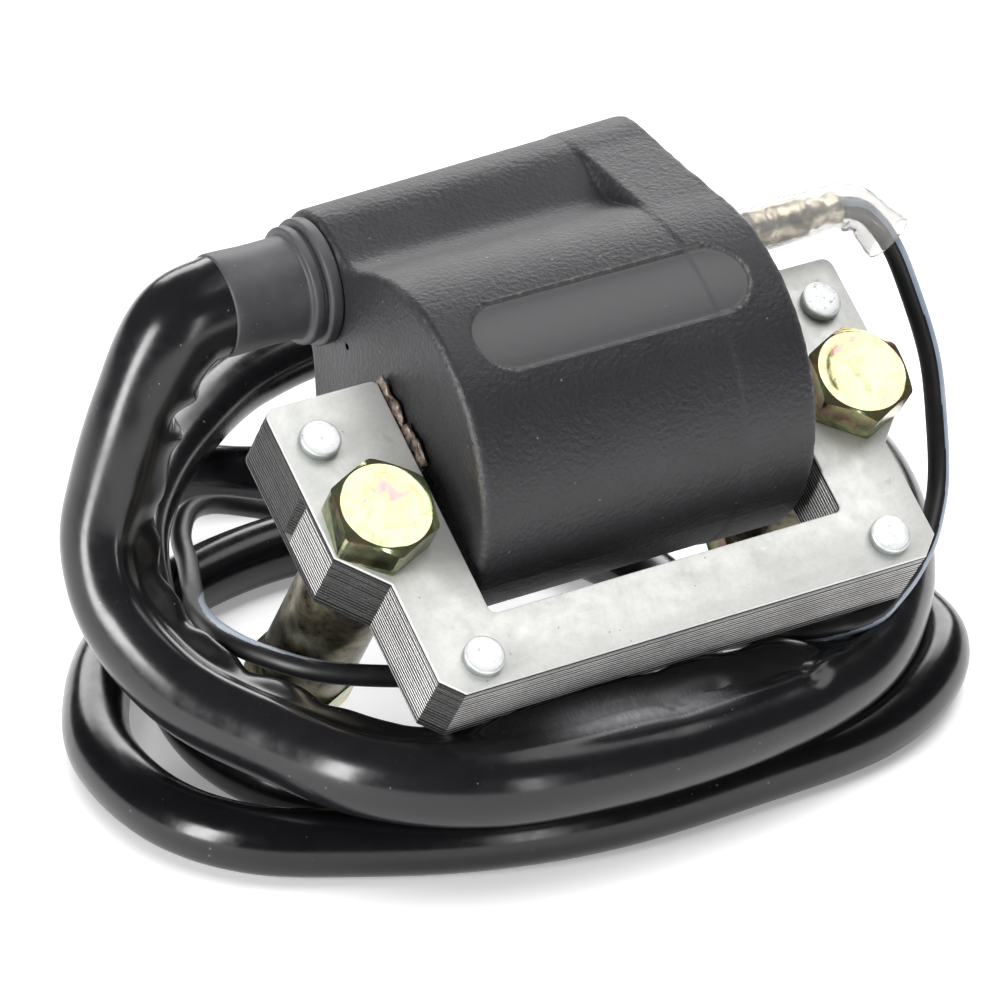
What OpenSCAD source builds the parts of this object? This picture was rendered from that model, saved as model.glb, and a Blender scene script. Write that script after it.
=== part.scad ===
// Ignition coil for a small engine: a laminated U core on two stand-off bolts, a potted
// coil between its legs, a high-tension lead in a sleeve and a low-tension wire.
// Millimetres, +Z up. The coil leans on its bolt ends and on the lead coiled under it.

/* [Core] */
// Width of the front bar
bar_w = 57.8; // [56.8:0.1:58.6]
// Depth of the front bar
bar_d = 7.4; // [7.0:0.1:7.8]
// Width across the two ears
ear_w = 66.6; // [66:0.1:68]
// Length of the legs
leg_len = 35.3; // [34.8:0.1:35.8]
// Width of the window between the legs
window_w = 41; // [40.6:0.1:41.4]
// Thickness of one zinc-plated end plate
plate_t = 1.05; // [0.95:0.05:1.1]

/* [Laminations] */
// Number of sheets between the end plates
sheets = 14; // [13:1:15]
// Distance from one sheet to the next
sheet_pitch = 0.5; // [0.46:0.02:0.5]
// Thickness of one sheet
sheet_t = 0.46; // [0.4:0.01:0.46]

/* [Mounting] */
// Distance between the two mounting bolts
bolt_gap = 55.5; // [55:0.1:56]
// Distance from the front edge to the bolts
bolt_y = 19.8; // [19.4:0.1:20.2]
// Thread diameter of the bolts
bolt_d = 6; // [5.6:0.1:6]
// Length of the bolts under the head
bolt_len = 40; // [39:0.5:42]
// Width across the flats of the heads and nuts
hex_af = 10; // [9.8:0.1:10]
// Length of the stand-off tubes
spacer_len = 19; // [18:0.1:19.6]
// Outer diameter of the stand-off tubes
spacer_d = 9.8; // [9:0.1:9.8]

/* [Housing] */
// Radius of the coil housing
shell_r = 18; // [17.8:0.05:18.1]
// Distance from the front edge to the housing's axis
shell_y = 29.6; // [29.4:0.1:29.8]
// Radius of the outlet ridge
tower_r = 7.2; // [7:0.1:7.4]
// Distance from the front edge to the ridge's axis
tower_y = 50.8; // [50.4:0.1:51.2]
// Wall of the housing
wall = 1.8; // [1.6:0.1:2]
// Depth of the label recess
recess_depth = 0.3; // [0.2:0.05:0.4]

/* [Leads] */
// Diameter of the high-tension lead
lead_d = 7; // [6.8:0.1:7]
// Diameter of the sleeve over its first stretch
sleeve_d = 9.5; // [9.1:0.1:9.5]
// Diameter of the low-tension wire
wire_d = 2.3; // [2:0.1:2.3]

/* [Hidden] */
$fn = 64;

// The coil stands on its bolt ends and leans back by this angle
lean = 33;
core_t = 2 * plate_t + sheets * sheet_pitch;
mid_z = -core_t / 2;
bolt_x = bolt_gap / 2;
bolt_r = bolt_d / 2;
thread_chamfer = 0.6;
low_y = bolt_y - bolt_r + thread_chamfer / 2;
stand_z = bolt_len * cos(lean) - low_y * sin(lean);
tower_back = tower_y * cos(lean) - mid_z * sin(lean) + tower_r;
stand_y = -tower_back / 2;

// Core
bar_x = bar_w / 2;
ear_x = ear_w / 2;
window_x = window_w / 2;
shoulder_y = 13.4;
corner_cut = 2.1;
corner_r = 1.2;
inner_r = 0.8;
notch_y = 24.8;
notch_side = 0.9;
rivet_places = [[23.7, 3], [29.4, 30.2]];
rivet_r = 1.4;
rivet_hole_r = 1.45;
rivet_head_r = 2.1;
rivet_head_h = 1.2;
rivet_edge = 0.25;
clear_r = bolt_r + 0.2;
head_h = 4.2;
head_chamfer = 0.6;
head_face_edge = 0.2;
nut_h = 5;
thread_relief = 0.3;
hex_r = hex_af / sqrt(3);
hex_turn = 22;
spacer_bore_r = bolt_r + 0.3;
joint_gap = 0.02;
covered_len = core_t + spacer_len + joint_gap + nut_h;

// How far a cutter passes the face it cuts, and how deep joined shapes overlap
past = 1;
overlap = 0.2;

// Coil, on an axis along X through the window
bar_y = 29.9;
bar_half_y = 5;
bar_half_x = window_x - 0.05;
fit_gap = 0.05;
bobbin_x = 15.6;
bobbin_t = 1;
primary_in_r = 7.6;
primary_out_r = 9.4;
bobbin_flange_r = 9.6;
insulation_in_r = 9.7;
insulation_out_r = 10.2;
secondary_x = 14;
secondary_in_r = 10.3;
secondary_core_r = 11.1;
secondary_flange_r = 14.6;
secondary_wind_r = 13.9;
secondary_flange_t = 0.8;
chambers = 5;

// Earth strip: thickness, half length, height, and tabs as [start, width, height]
strip_t = 0.7;
strip_half = 5;
strip_h = 1.9;
strip_tabs = [[-4.4, 2.6, 3.2], [0.6, 2.4, 2.8], [3.4, 1.2, 2.4]];

// Housing
shell_left = -19.5;
shell_right = 19;
web_x = 10.8;
valley_half = 6.7;
valley_y = 36;
potting_drop = 0.8;
tower_bore_r = 4.9;
tower_bore_end = -7;
arc_step = 4;
recess_x = 15.8;
recess_half = 4.1;
recess_y = shell_y + 0.5;
outlet_y = 50;

// Boot, along the outlet axis
boot_end = -31;
boot_r = 5.3;
boot_bore_r = lead_d / 2 + 0.02;
boot_lips = [[-19.55, -20.9, 6.7], [-21.5, -22.5, 6.2]];
boot_waist_r = 5.7;
contact_x = -12;
contact_tip = -17;
contact_r = 2.6;
contact_pin_r = 0.6;
link_x = -8;
link_r = 0.5;

// Low-tension terminal, parallel to X, in the standing frame
terminal_at = [0, 5, 48];
terminal_root = 15.2;
terminal_step = 8;
terminal_out_r = 1.7;
terminal_neck_r = 1.3;
socket_start = 24;
socket_end = 31;
neck_end = 30.5;
socket_r = 2.1;
crimp_end = 35;
cover_start = 22.5;
cover_bend = 36.5;
cover_r = 2.5;
cover_bore_r = 2.2;
cover_tail = 5.5;
cover_knee = 0.1;
connector_r = 1.6;
barrel_r = 1.35;
connector_lip = 0.5;
connector_cover_r = 1.9;
connector_len = 13;
connector_tip = 4.5;

// Route of the sleeved stretch and the bare stretch of the high-tension lead
sleeve_route = [
  [-31, 18.3, 47.6], [-34.5, 18.4, 46.6], [-37.5, 18.5, 43], [-40, 18.5, 38],
  [-42.5, 18.5, 31], [-44.5, 17.5, 24], [-44.5, 13, 17.5], [-42, 4, 13],
  [-37.5, -7, 12], [-32, -17.6, 11.9], [-22, -24.5, 11.8], [-7, -27.1, 11.5],
  [8.4, -26.5, 10.9], [21.4, -22.9, 10.9], [30.9, -14.7, 11.1], [37.7, -4.7, 11.6],
  [42, 5.9, 12.2], [44.5, 19, 12]
];
// How far the sleeve is drawn in on the lead at each point
sleeve_drawn_in = [0, 0, 0, 0, 0, 0, 0, 0, 0, 0, 0, 0.2, 0.8, 0.95, 0.95, 0.8, 0.55, 0.15];
lead_route = [
  [44.5, 19, 12], [44.5, 33, 12], [38, 47, 12], [26.5, 58, 12], [11, 64.5, 12],
  [-5, 61.5, 12], [-18, 52.5, 12], [-27.5, 42.5, 12], [-34, 32, 11.5],
  [-37.5, 20, 8], [-38, 8, 4], [-34, -4, 3.5], [-24, -10, 3.5], [-11, -12, 3.5],
  [2, -10.5, 3.5], [12, -4, 3.5], [17.5, 6, 3.5], [17.5, 18, 3.5], [12.5, 29, 3.5],
  [3, 36, 3.5], [-13, 39.5, 3.5], [-28, 36.5, 3.5], [-38, 29.5, 3.5],
  [-44.5, 21, 3.5], [-48.5, 11, 3.5], [-48, -1, 3.5], [-43, -10, 3.5],
  [-34, -16, 3.5], [-22, -21.5, 3.5], [-8, -24.5, 3.5], [8, -24.5, 3.5],
  [22, -23.5, 3.5], [32, -19, 3.5], [38, -12, 3.5], [39, -3, 3.5], [40, 9, 3.5],
  [41, 23, 3.5], [38, 37, 3.5], [28.5, 49.5, 3.5], [12, 54, 3.5], [-4.5, 53, 3.5]
];
lead_end = [-16, 59.6, 3.5];
lead_sides = 12;
conductor_r = 1;
conductor_drop = 0.3;
wire_route = [
  [35, 5, 48], [38, 4.5, 47], [40, 2.5, 44], [41, 0, 39.5],
  [41.3, -4, 33], [40.1, -7.6, 27], [38, -11.4, 22.6], [35.2, -14.6, 20],
  [33, -16.5, 18.5], [30.9, -17.6, 17], [29.2, -18.5, 16.3], [27.2, -19.6, 15.9],
  [25, -20.7, 15.5], [23, -21.2, 15.4], [20.8, -21.2, 15.3], [18.8, -20.5, 15],
  [16.6, -19.4, 14.7], [14.4, -18.2, 14.6], [9, -16.8, 14.8], [-3, -15, 15.3],
  [-16, -12.1, 15.7], [-29.5, -5.3, 16.2], [-35, 1.8, 16.4], [-36.3, 9, 15.7],
  [-34.5, 17, 13.5], [-31, 25, 10.5], [-27.5, 33, 8.9], [-25, 39.5, 8.3],
  [-21.5, 44.5, 7.8], [-17, 47.6, 6], [-12, 47.8, 4], [-7, 46.2, 2.5],
  [-2, 45.5, 2]
];
wire_sides = 8;

// Moves the core's own frame, with its plates flat, to the leaning position
module leaning() {
  translate([0, stand_y, stand_z]) rotate([lean, 0, 0]) children();
}

// Points on an arc, anticlockwise from one angle to another
function arc(cx, cy, r, from, to, step = arc_step) =
  let (n = max(2, ceil(abs(to - from) / step)))
  [for (i = [0:n]) [cx + r * cos(from + (to - from) * i / n), cy + r * sin(from + (to - from) * i / n)]];

// The same points on the other side of the middle, in reverse order
function mirrored(points) =
  [for (i = [len(points) - 1:-1:0]) [-points[i][0], points[i][1]]];

// Right half of the U, from the front edge round to the window
half_u = concat(
  [[bar_x - corner_cut, 0], [bar_x, corner_cut], [bar_x, shoulder_y]],
  [[ear_x, shoulder_y + ear_x - bar_x]],
  arc(ear_x - corner_r, leg_len - corner_r, corner_r, 0, 90, 15),
  arc(window_x + inner_r, leg_len - inner_r, inner_r, 90, 180, 15),
  arc(window_x - inner_r, bar_d + inner_r, inner_r, 0, -90, 15)
);
u_points = concat(half_u, mirrored(half_u));

module u_holes() {
  for (side = [-1, 1]) {
    translate([side * bolt_x, bolt_y]) circle(r = clear_r);
    for (place = rivet_places) translate([side * place[0], place[1]]) circle(r = rivet_hole_r);
  }
}

module u_plate(z, t) {
  translate([0, 0, z]) linear_extrude(t) difference() {
    polygon(u_points);
    u_holes();
  }
}

module u_sheet(z) {
  translate([0, 0, z]) linear_extrude(sheet_t) difference() {
    polygon(u_points);
    u_holes();
    for (side = [-1, 1]) translate([side * ear_x, notch_y]) rotate(45) square(notch_side, center = true);
  }
}

module front_end_plate() {
  color("gainsboro") leaning() u_plate(-plate_t, plate_t);
}

module core_laminations() {
  color("dimgray") leaning() for (i = [0:sheets - 1])
    u_sheet(-plate_t - (i + 1) * sheet_pitch + (sheet_pitch - sheet_t) / 2);
}

module back_end_plate() {
  color("gainsboro") leaning() u_plate(-core_t, plate_t);
}

// Straight laminated bar that closes the U through the coil
module core_bar() {
  color("dimgray") leaning() for (i = [0:sheets - 1])
    translate([-bar_half_x, bar_y - bar_half_y, -plate_t - (i + 1) * sheet_pitch])
      cube([2 * bar_half_x, 2 * bar_half_y, sheet_t]);
}

module rivet_head(z, up) {
  translate([0, 0, z]) mirror([0, 0, up ? 0 : 1]) {
    cylinder(r = rivet_head_r, h = rivet_head_h - rivet_edge);
    translate([0, 0, rivet_head_h - rivet_edge])
      cylinder(r1 = rivet_head_r, r2 = rivet_head_r - rivet_edge, h = rivet_edge);
  }
}

module rivets() {
  color("whitesmoke") leaning() for (side = [-1, 1], place = rivet_places)
    translate([side * place[0], place[1], 0]) {
      translate([0, 0, -core_t]) cylinder(r = rivet_r, h = core_t);
      rivet_head(0, true);
      rivet_head(-core_t, false);
    }
}

// Hexagonal head whose upper corners are turned off by a cone
module hex_head() {
  face_r = hex_af / 2 - head_face_edge;
  slope = (hex_r - face_r) / head_chamfer;
  intersection() {
    rotate(hex_turn) cylinder(r = hex_r, h = head_h, $fn = 6);
    cylinder(r1 = face_r + slope * head_h, r2 = face_r, h = head_h);
  }
}

module bolt() {
  hex_head();
  translate([0, 0, -covered_len]) cylinder(r = bolt_r - thread_relief, h = covered_len);
  translate([0, 0, thread_chamfer - bolt_len])
    cylinder(r = bolt_r, h = bolt_len - thread_chamfer - covered_len);
  translate([0, 0, -bolt_len]) cylinder(r1 = bolt_r - thread_chamfer / 2, r2 = bolt_r, h = thread_chamfer);
}

module mounting_bolts() {
  color("darkkhaki") leaning() for (side = [-1, 1]) translate([side * bolt_x, bolt_y, 0]) bolt();
}

module stand_off_tubes() {
  color("silver") leaning() for (side = [-1, 1])
    translate([side * bolt_x, bolt_y, -core_t - spacer_len]) difference() {
      cylinder(d = spacer_d, h = spacer_len);
      translate([0, 0, -past]) cylinder(r = spacer_bore_r, h = spacer_len + 2 * past);
    }
}

module nuts() {
  color("darkkhaki") leaning() for (side = [-1, 1])
    translate([side * bolt_x, bolt_y, -covered_len]) difference() {
      rotate(hex_turn) cylinder(r = hex_r, h = nut_h, $fn = 6);
      translate([0, 0, -past]) cylinder(r = bolt_r - thread_relief + joint_gap, h = nut_h + 2 * past);
    }
}

// Tinned strip folded over the bar's end, which earths the primary winding
module earth_strip() {
  color("rosybrown") leaning() translate([-window_x + fit_gap, bar_y, -plate_t]) {
    translate([0, -strip_half, 0]) cube([strip_t, 2 * strip_half, strip_h]);
    for (tab = strip_tabs) translate([0, tab[0], 0]) cube([strip_t, tab[1], tab[2]]);
  }
}

// Places children on the coil's axis, pointing along +X
module on_coil_axis(y = bar_y) {
  translate([0, y, mid_z]) rotate([0, 90, 0]) children();
}

module ring(x0, x1, r_in, r_out) {
  translate([0, 0, x0]) difference() {
    cylinder(r = r_out, h = x1 - x0);
    translate([0, 0, -past]) cylinder(r = r_in, h = x1 - x0 + 2 * past);
  }
}

// A cylinder reaching equally far both ways
module centred(r, half_len) {
  translate([0, 0, -half_len]) cylinder(r = r, h = 2 * half_len);
}

module bar_hole(gap = fit_gap) {
  translate([-ear_x, bar_y - bar_half_y - gap, -core_t + plate_t - gap])
    cube([ear_w, 2 * (bar_half_y + gap), core_t - 2 * plate_t + 2 * gap]);
}

module primary_bobbin() {
  color("ivory") leaning() difference() {
    on_coil_axis() {
      centred(primary_in_r - fit_gap, bobbin_x);
      for (x = [-bobbin_x, bobbin_x - bobbin_t])
        translate([0, 0, x]) cylinder(r = bobbin_flange_r, h = bobbin_t);
    }
    bar_hole();
  }
}

module primary_winding() {
  wound_x = bobbin_x - bobbin_t - fit_gap;
  color("sienna") leaning() on_coil_axis() ring(-wound_x, wound_x, primary_in_r, primary_out_r);
}

module winding_insulation() {
  color("khaki") leaning() on_coil_axis() ring(-bobbin_x, bobbin_x, insulation_in_r, insulation_out_r);
}

function flange_x(i) = -secondary_x + i * (2 * secondary_x - secondary_flange_t) / chambers;

module secondary_bobbin() {
  color("ivory") leaning() on_coil_axis() {
    ring(-secondary_x, secondary_x, secondary_in_r, secondary_core_r);
    for (i = [0:chambers])
      ring(flange_x(i), flange_x(i) + secondary_flange_t, secondary_in_r, secondary_flange_r);
  }
}

module secondary_winding() {
  color("peru") leaning() on_coil_axis() for (i = [0:chambers - 1])
    ring(flange_x(i) + secondary_flange_t + fit_gap, flange_x(i + 1) - fit_gap,
         secondary_core_r + fit_gap, secondary_wind_r);
}

// Bare link from the secondary winding up to the outlet contact
module high_tension_link() {
  link_start = bar_y + secondary_wind_r + fit_gap;
  color("orange") leaning() translate([link_x, link_start, mid_z]) rotate([-90, 0, 0])
    cylinder(r = link_r, h = outlet_y - contact_r - fit_gap - link_start);
}

// End view of the housing: a round body and the outlet ridge, joined by a web.
// The tangent web runs straight from one to the other; the valley web is lower.
function tangent_angle(r1, r2) = acos((r1 - r2) / (tower_y - shell_y));

function tangent_profile(inset) =
  let (a = tangent_angle(shell_r, tower_r))
  concat(
    arc(tower_y, mid_z, tower_r - inset, -a, a),
    arc(shell_y, mid_z, shell_r - inset, a, 360 - a)
  );

// Where a line half_h above the middle meets a circle
function meets(cy, r, half_h) = asin(half_h / r);

function valley_profile(inset) =
  let (half_h = valley_half - inset,
       b = meets(shell_y, shell_r - inset, half_h),
       c = meets(tower_y, tower_r - inset, half_h))
  concat(
    arc(tower_y, mid_z, tower_r - inset, c - 180, 180 - c),
    arc(shell_y, mid_z, shell_r - inset, b, 360 - b)
  );

module along_x(x0, x1) {
  translate([x0, 0, 0]) rotate([90, 0, 90]) linear_extrude(x1 - x0) children();
}

module body_shape(x0, x1, inset) {
  along_x(x0, web_x + inset) polygon(valley_profile(inset));
  along_x(web_x + inset - fit_gap, x1) polygon(tangent_profile(inset));
}

module label_recess() {
  intersection() {
    on_coil_axis(shell_y) ring(-recess_x - past, recess_x + past, shell_r - recess_depth, shell_r + past);
    translate([0, recess_y, 0]) linear_extrude(shell_r) union() {
      square([2 * (recess_x - recess_half), 2 * recess_half], center = true);
      for (side = [-1, 1]) translate([side * (recess_x - recess_half), 0]) circle(r = recess_half);
    }
  }
}

// Places children on the outlet's axis, pointing along +X
module on_outlet() {
  translate([0, outlet_y, mid_z]) rotate([0, 90, 0]) children();
}

module tower_bore(r, x1) {
  on_outlet() translate([0, 0, shell_left - past]) cylinder(r = r, h = x1 - shell_left + past);
}

module housing() {
  color([0.1, 0.1, 0.11]) leaning() difference() {
    body_shape(shell_left, shell_right, 0);
    body_shape(shell_left + wall, shell_right + past, wall);
    bar_hole();
    tower_bore(tower_bore_r, tower_bore_end);
    label_recess();
  }
}

module potting() {
  inset = wall + joint_gap / 2;
  color([0.16, 0.14, 0.13]) leaning() difference() {
    body_shape(shell_left + inset, shell_right - potting_drop, inset);
    bar_hole();
    on_coil_axis() {
      centred(insulation_out_r + fit_gap, bobbin_x + fit_gap);
      centred(secondary_flange_r + fit_gap, secondary_x + fit_gap);
    }
    tower_bore(tower_bore_r + fit_gap, tower_bore_end);
    translate([link_x, bar_y, mid_z]) rotate([-90, 0, 0])
      cylinder(r = link_r + fit_gap, h = outlet_y - bar_y);
    terminal_clearance();
  }
}

// Brass contact in the outlet, with the point that enters the lead
module high_tension_contact() {
  color("goldenrod") leaning() on_outlet() {
    translate([0, 0, contact_x + fit_gap])
      cylinder(r = contact_r, h = tower_bore_end - contact_x - 2 * fit_gap);
    translate([0, 0, contact_tip]) cylinder(r = contact_pin_r, h = contact_x + overlap - contact_tip);
  }
}

// Rubber boot: a stem in the outlet, two lips outside it and a tail around the lead
module outlet_boot() {
  lip_near = boot_lips[0][0];
  lip_far = boot_lips[1][1];
  color([0.13, 0.13, 0.14]) leaning() on_outlet() difference() {
    union() {
      translate([0, 0, boot_end]) cylinder(r = boot_r, h = lip_far - boot_end + overlap);
      translate([0, 0, lip_far]) cylinder(r = boot_waist_r, h = lip_near - lip_far);
      translate([0, 0, lip_near - overlap])
        cylinder(r = tower_bore_r - fit_gap, h = contact_x - lip_near + overlap);
      for (lip = boot_lips) translate([0, 0, lip[1]]) cylinder(r = lip[2], h = lip[0] - lip[1]);
    }
    translate([0, 0, boot_end - past]) cylinder(r = boot_bore_r, h = contact_x - boot_end + 2 * past);
  }
}

// Straight start of the lead inside the boot, pushed onto the contact's point
module lead_entry() {
  color([0.09, 0.09, 0.1]) leaning() on_outlet() difference() {
    translate([0, 0, boot_end]) cylinder(r = lead_d / 2, h = contact_x - boot_end);
    translate([0, 0, contact_tip - fit_gap])
      cylinder(r = contact_pin_r + fit_gap, h = contact_x - contact_tip + past);
  }
}

// A tube swept along a route: one ring of points at each route point
function unit(v) = v / norm(v);
function along(route, i) = unit(route[i + 1] - route[i - 1]);
function directions(route, first, last) =
  [for (i = [0:len(route) - 1]) i == 0 ? first : i == len(route) - 1 ? last : along(route, i)];

// A sideways vector at each point, carried along the route without twisting
function square_to(v, dir) = unit(v - (v * dir) * dir);
function sideways(dirs) =
  [for (i = 0, u = square_to(cross([0, 0, 1], dirs[0]), dirs[0]); i < len(dirs);
        i = i + 1, u = square_to(u, dirs[min(i, len(dirs) - 1)])) u];

function ring_points(at, dir, u, r, sides) =
  [for (k = [0:sides - 1])
    let (a = 360 * (k + 0.5) / sides)
    at + r * (cos(a) * u + sin(a) * cross(dir, u))];

module swept(route, r, sides, first, last) {
  rings = len(route);
  dirs = directions(route, first, last);
  sides_u = sideways(dirs);
  radii = [for (i = [0:rings - 1]) is_list(r) ? r[i] : r];
  points = [for (i = [0:rings - 1]) each ring_points(route[i], dirs[i], sides_u[i], radii[i], sides)];
  skin = [for (i = [0:rings - 2], k = [0:sides - 1]) let (n = (k + 1) % sides)
    [i * sides + k, (i + 1) * sides + k, (i + 1) * sides + n, i * sides + n]];
  ends = [[for (k = [0:sides - 1]) k], [for (k = [sides - 1:-1:0]) (rings - 1) * sides + k]];
  polyhedron(points, concat(skin, ends));
}

// Direction of the lead where the sleeve ends, shared by both tubes
handover = unit(lead_route[1] - sleeve_route[len(sleeve_route) - 2]);
lead_last = lead_route[len(lead_route) - 1];
end_dir = unit(lead_end - lead_last);
lead_end_len = norm(lead_end - lead_last);

module lead_sleeve() {
  radii = [for (inward = sleeve_drawn_in) sleeve_d / 2 - inward];
  color([0.08, 0.08, 0.09]) swept(sleeve_route, radii, lead_sides, [-1, 0, 0], handover);
}

module high_tension_lead() {
  color([0.08, 0.08, 0.09]) swept(lead_route, lead_d / 2, lead_sides, handover, end_dir);
}

// Places children at a point with +Z along a direction
module pointing(at, dir) {
  translate(at) rotate([0, acos(dir[2]), atan2(dir[1], dir[0])]) children();
}

// The lead's straight last stretch, cut square, where a plug cap is screwed on
module lead_cut_end() {
  color([0.12, 0.12, 0.13]) pointing(lead_last, end_dir)
    ring(0, lead_end_len, conductor_r + joint_gap, lead_d / 2);
}

// Conductor of that stretch, its cut face a little below the insulation's
module lead_conductor() {
  color("peru") pointing(lead_last, end_dir) cylinder(r = conductor_r, h = lead_end_len - conductor_drop);
}

module on_terminal() {
  translate([0, terminal_at[1], terminal_at[2]]) rotate([0, 90, 0]) children();
}

module terminal_clearance() {
  rotate([-lean, 0, 0]) translate([0, -stand_y, -stand_z]) on_terminal()
    translate([0, 0, terminal_root - fit_gap])
      cylinder(r = terminal_out_r + fit_gap, h = terminal_step);
}

module terminal_pin() {
  color("wheat") on_terminal() {
    translate([0, 0, terminal_root]) cylinder(r = terminal_out_r, h = terminal_step);
    translate([0, 0, terminal_root]) cylinder(r = terminal_neck_r, h = neck_end - terminal_root);
  }
}

module terminal_socket() {
  color("tan") on_terminal() difference() {
    union() {
      translate([0, 0, socket_start]) cylinder(r = socket_r, h = socket_end - socket_start);
      translate([0, 0, socket_end]) cylinder(r = terminal_out_r, h = crimp_end - socket_end);
    }
    translate([0, 0, socket_start - past])
      cylinder(r = terminal_neck_r + fit_gap, h = neck_end + fit_gap - socket_start + past);
  }
}

// Clear sleeve over the joint: straight, then bent down with the wire
module cover_shape(r, extra) {
  bend_at = [cover_bend, terminal_at[1], terminal_at[2]];
  on_terminal() translate([0, 0, cover_start - extra]) cylinder(r = r, h = cover_bend - cover_start + extra);
  translate(bend_at) sphere(r = r + cover_knee);
  pointing(bend_at, unit(wire_route[2] - bend_at)) cylinder(r = r, h = cover_tail + extra);
}

module terminal_cover() {
  color([0.85, 0.88, 0.88, 0.4]) difference() {
    cover_shape(cover_r, 0);
    cover_shape(cover_bore_r, past);
  }
}

module low_tension_wire() {
  color([0.12, 0.13, 0.16]) swept(wire_route, wire_d / 2, wire_sides, [1, 0, 0], [1, 0, 0]);
}

module on_wire_end() {
  translate(wire_route[len(wire_route) - 1]) rotate([0, 90, 0]) children();
}

// Bullet connector on the far end of the wire
module wire_connector() {
  color("goldenrod") on_wire_end() {
    cylinder(r = barrel_r, h = connector_len);
    translate([0, 0, connector_len]) cylinder(r = connector_r, h = connector_tip);
  }
}

module connector_cover() {
  color([0.75, 0.77, 0.78]) on_wire_end()
    ring(connector_lip, connector_len, barrel_r + joint_gap, connector_cover_r);
}

front_end_plate();
core_laminations();
back_end_plate();
core_bar();
rivets();
mounting_bolts();
stand_off_tubes();
nuts();
earth_strip();
primary_bobbin();
primary_winding();
winding_insulation();
secondary_bobbin();
secondary_winding();
high_tension_link();
potting();
housing();
high_tension_contact();
outlet_boot();
lead_entry();
lead_sleeve();
high_tension_lead();
lead_cut_end();
lead_conductor();
terminal_pin();
terminal_socket();
terminal_cover();
low_tension_wire();
wire_connector();
connector_cover();
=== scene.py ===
import math

import bpy
import numpy as np
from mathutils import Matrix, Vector, noise


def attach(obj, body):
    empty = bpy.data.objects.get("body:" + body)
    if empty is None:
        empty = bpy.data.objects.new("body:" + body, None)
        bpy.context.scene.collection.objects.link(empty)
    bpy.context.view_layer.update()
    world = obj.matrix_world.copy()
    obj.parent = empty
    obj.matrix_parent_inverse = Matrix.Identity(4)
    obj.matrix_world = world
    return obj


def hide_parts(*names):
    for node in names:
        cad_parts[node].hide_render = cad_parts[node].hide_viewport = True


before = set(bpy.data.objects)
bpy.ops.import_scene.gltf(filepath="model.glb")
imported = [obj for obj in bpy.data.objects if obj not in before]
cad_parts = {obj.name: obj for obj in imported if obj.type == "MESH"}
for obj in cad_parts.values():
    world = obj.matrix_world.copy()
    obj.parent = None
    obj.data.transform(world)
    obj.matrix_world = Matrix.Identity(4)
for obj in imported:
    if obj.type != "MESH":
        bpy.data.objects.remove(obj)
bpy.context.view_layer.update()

MM = 0.001
ROOT = "root"

# ---------------------------------------------------------------- frames
LEAN = math.radians(33)
COS_LEAN, SIN_LEAN = math.cos(LEAN), math.sin(LEAN)
STAND_Y, STAND_Z = -26.1413, 24.2335
MID_Z = -4.55
CORE_T = 9.1
PLATE_T, SHEET_T, SHEETS = 1.05, 0.5, 14


def leaning(points):
    """Points of the core's own frame (mm, plates flat) to the standing frame (mm)."""
    p = np.asarray(points, float).reshape(-1, 3)
    y = p[:, 1] * COS_LEAN - p[:, 2] * SIN_LEAN + STAND_Y
    z = p[:, 1] * SIN_LEAN + p[:, 2] * COS_LEAN + STAND_Z
    return np.stack([p[:, 0], y, z], 1)


scene = bpy.context.scene


def placed(name, data, place=(0, 0, 0), aim=None):
    """A new object in the scene, looking along a direction if one is given."""
    obj = bpy.data.objects.new(name, data)
    scene.collection.objects.link(obj)
    obj.location = place
    if aim is not None:
        obj.rotation_mode = "QUATERNION"
        obj.rotation_quaternion = aim.to_track_quat("-Z", "Y")
    return obj


# ---------------------------------------------------------------- camera
TARGET = Vector((-0.0144, -0.0109, 0.0349))
FORWARD = Vector((0.4309, 0.7523, -0.4983)).normalized()
camera_data = bpy.data.cameras.new("camera")
camera_data.lens = 216.9
camera_data.sensor_width = 36
camera_data.clip_start, camera_data.clip_end = 0.02, 20
scene.camera = placed("camera", camera_data, TARGET - FORWARD * 0.6, FORWARD)


# ---------------------------------------------------------------- mesh helpers
def add_mesh(name, verts_mm, faces, mats, slot=None, face_mats=None, masks=None, crisp=None):
    """A smooth mesh in the root body, from points in mm; corners over crisp degrees stay sharp."""
    data = bpy.data.meshes.new(name)
    data.from_pydata((np.asarray(verts_mm) * MM).tolist(), [], faces)
    for m in mats if isinstance(mats, (list, tuple)) else [mats]:
        data.materials.append(m)
    if face_mats is not None:
        data.polygons.foreach_set("material_index", face_mats)
    data.shade_smooth()
    for key, values in (masks or {}).items():
        layer = data.attributes.new(key, "FLOAT", "POINT")
        layer.data.foreach_set("value", np.asarray(values, np.float32))
    data.update()
    if crisp:
        data.set_sharp_from_angle(angle=math.radians(crisp))
    obj = placed(name, data)
    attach(obj, ROOT)
    return obj


def grid_faces(rows, cols, closed=True):
    """Quads of a grid whose columns run round and close."""
    faces = []
    for i in range(rows - 1):
        a, b = i * cols, (i + 1) * cols
        for k in range(cols if closed else cols - 1):
            n = (k + 1) % cols
            faces.append((a + k, a + n, b + n, b + k))
    return faces


def end_cap(start, sides, flip):
    loop = list(range(start, start + sides))
    return [tuple(reversed(loop)) if flip else tuple(loop)]


def capped(rows, cols):
    """Faces of a closed grid with its first and last row filled in."""
    return grid_faces(rows, cols) + end_cap(0, cols, True) + end_cap((rows - 1) * cols, cols, False)


def turned_over(faces):
    return [tuple(reversed(face)) for face in faces]


def around(sides):
    """Even angles once round, in radians."""
    return np.linspace(0, 2 * math.pi, sides, endpoint=False)


def noise_at(points, scale, seed=0.0):
    """Smooth noise from -1 to 1 at each point."""
    shift = Vector((seed * 13.7, seed * 7.3, seed * 3.1))
    return np.array([noise.noise(Vector(p) * scale + shift) for p in points])


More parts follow.
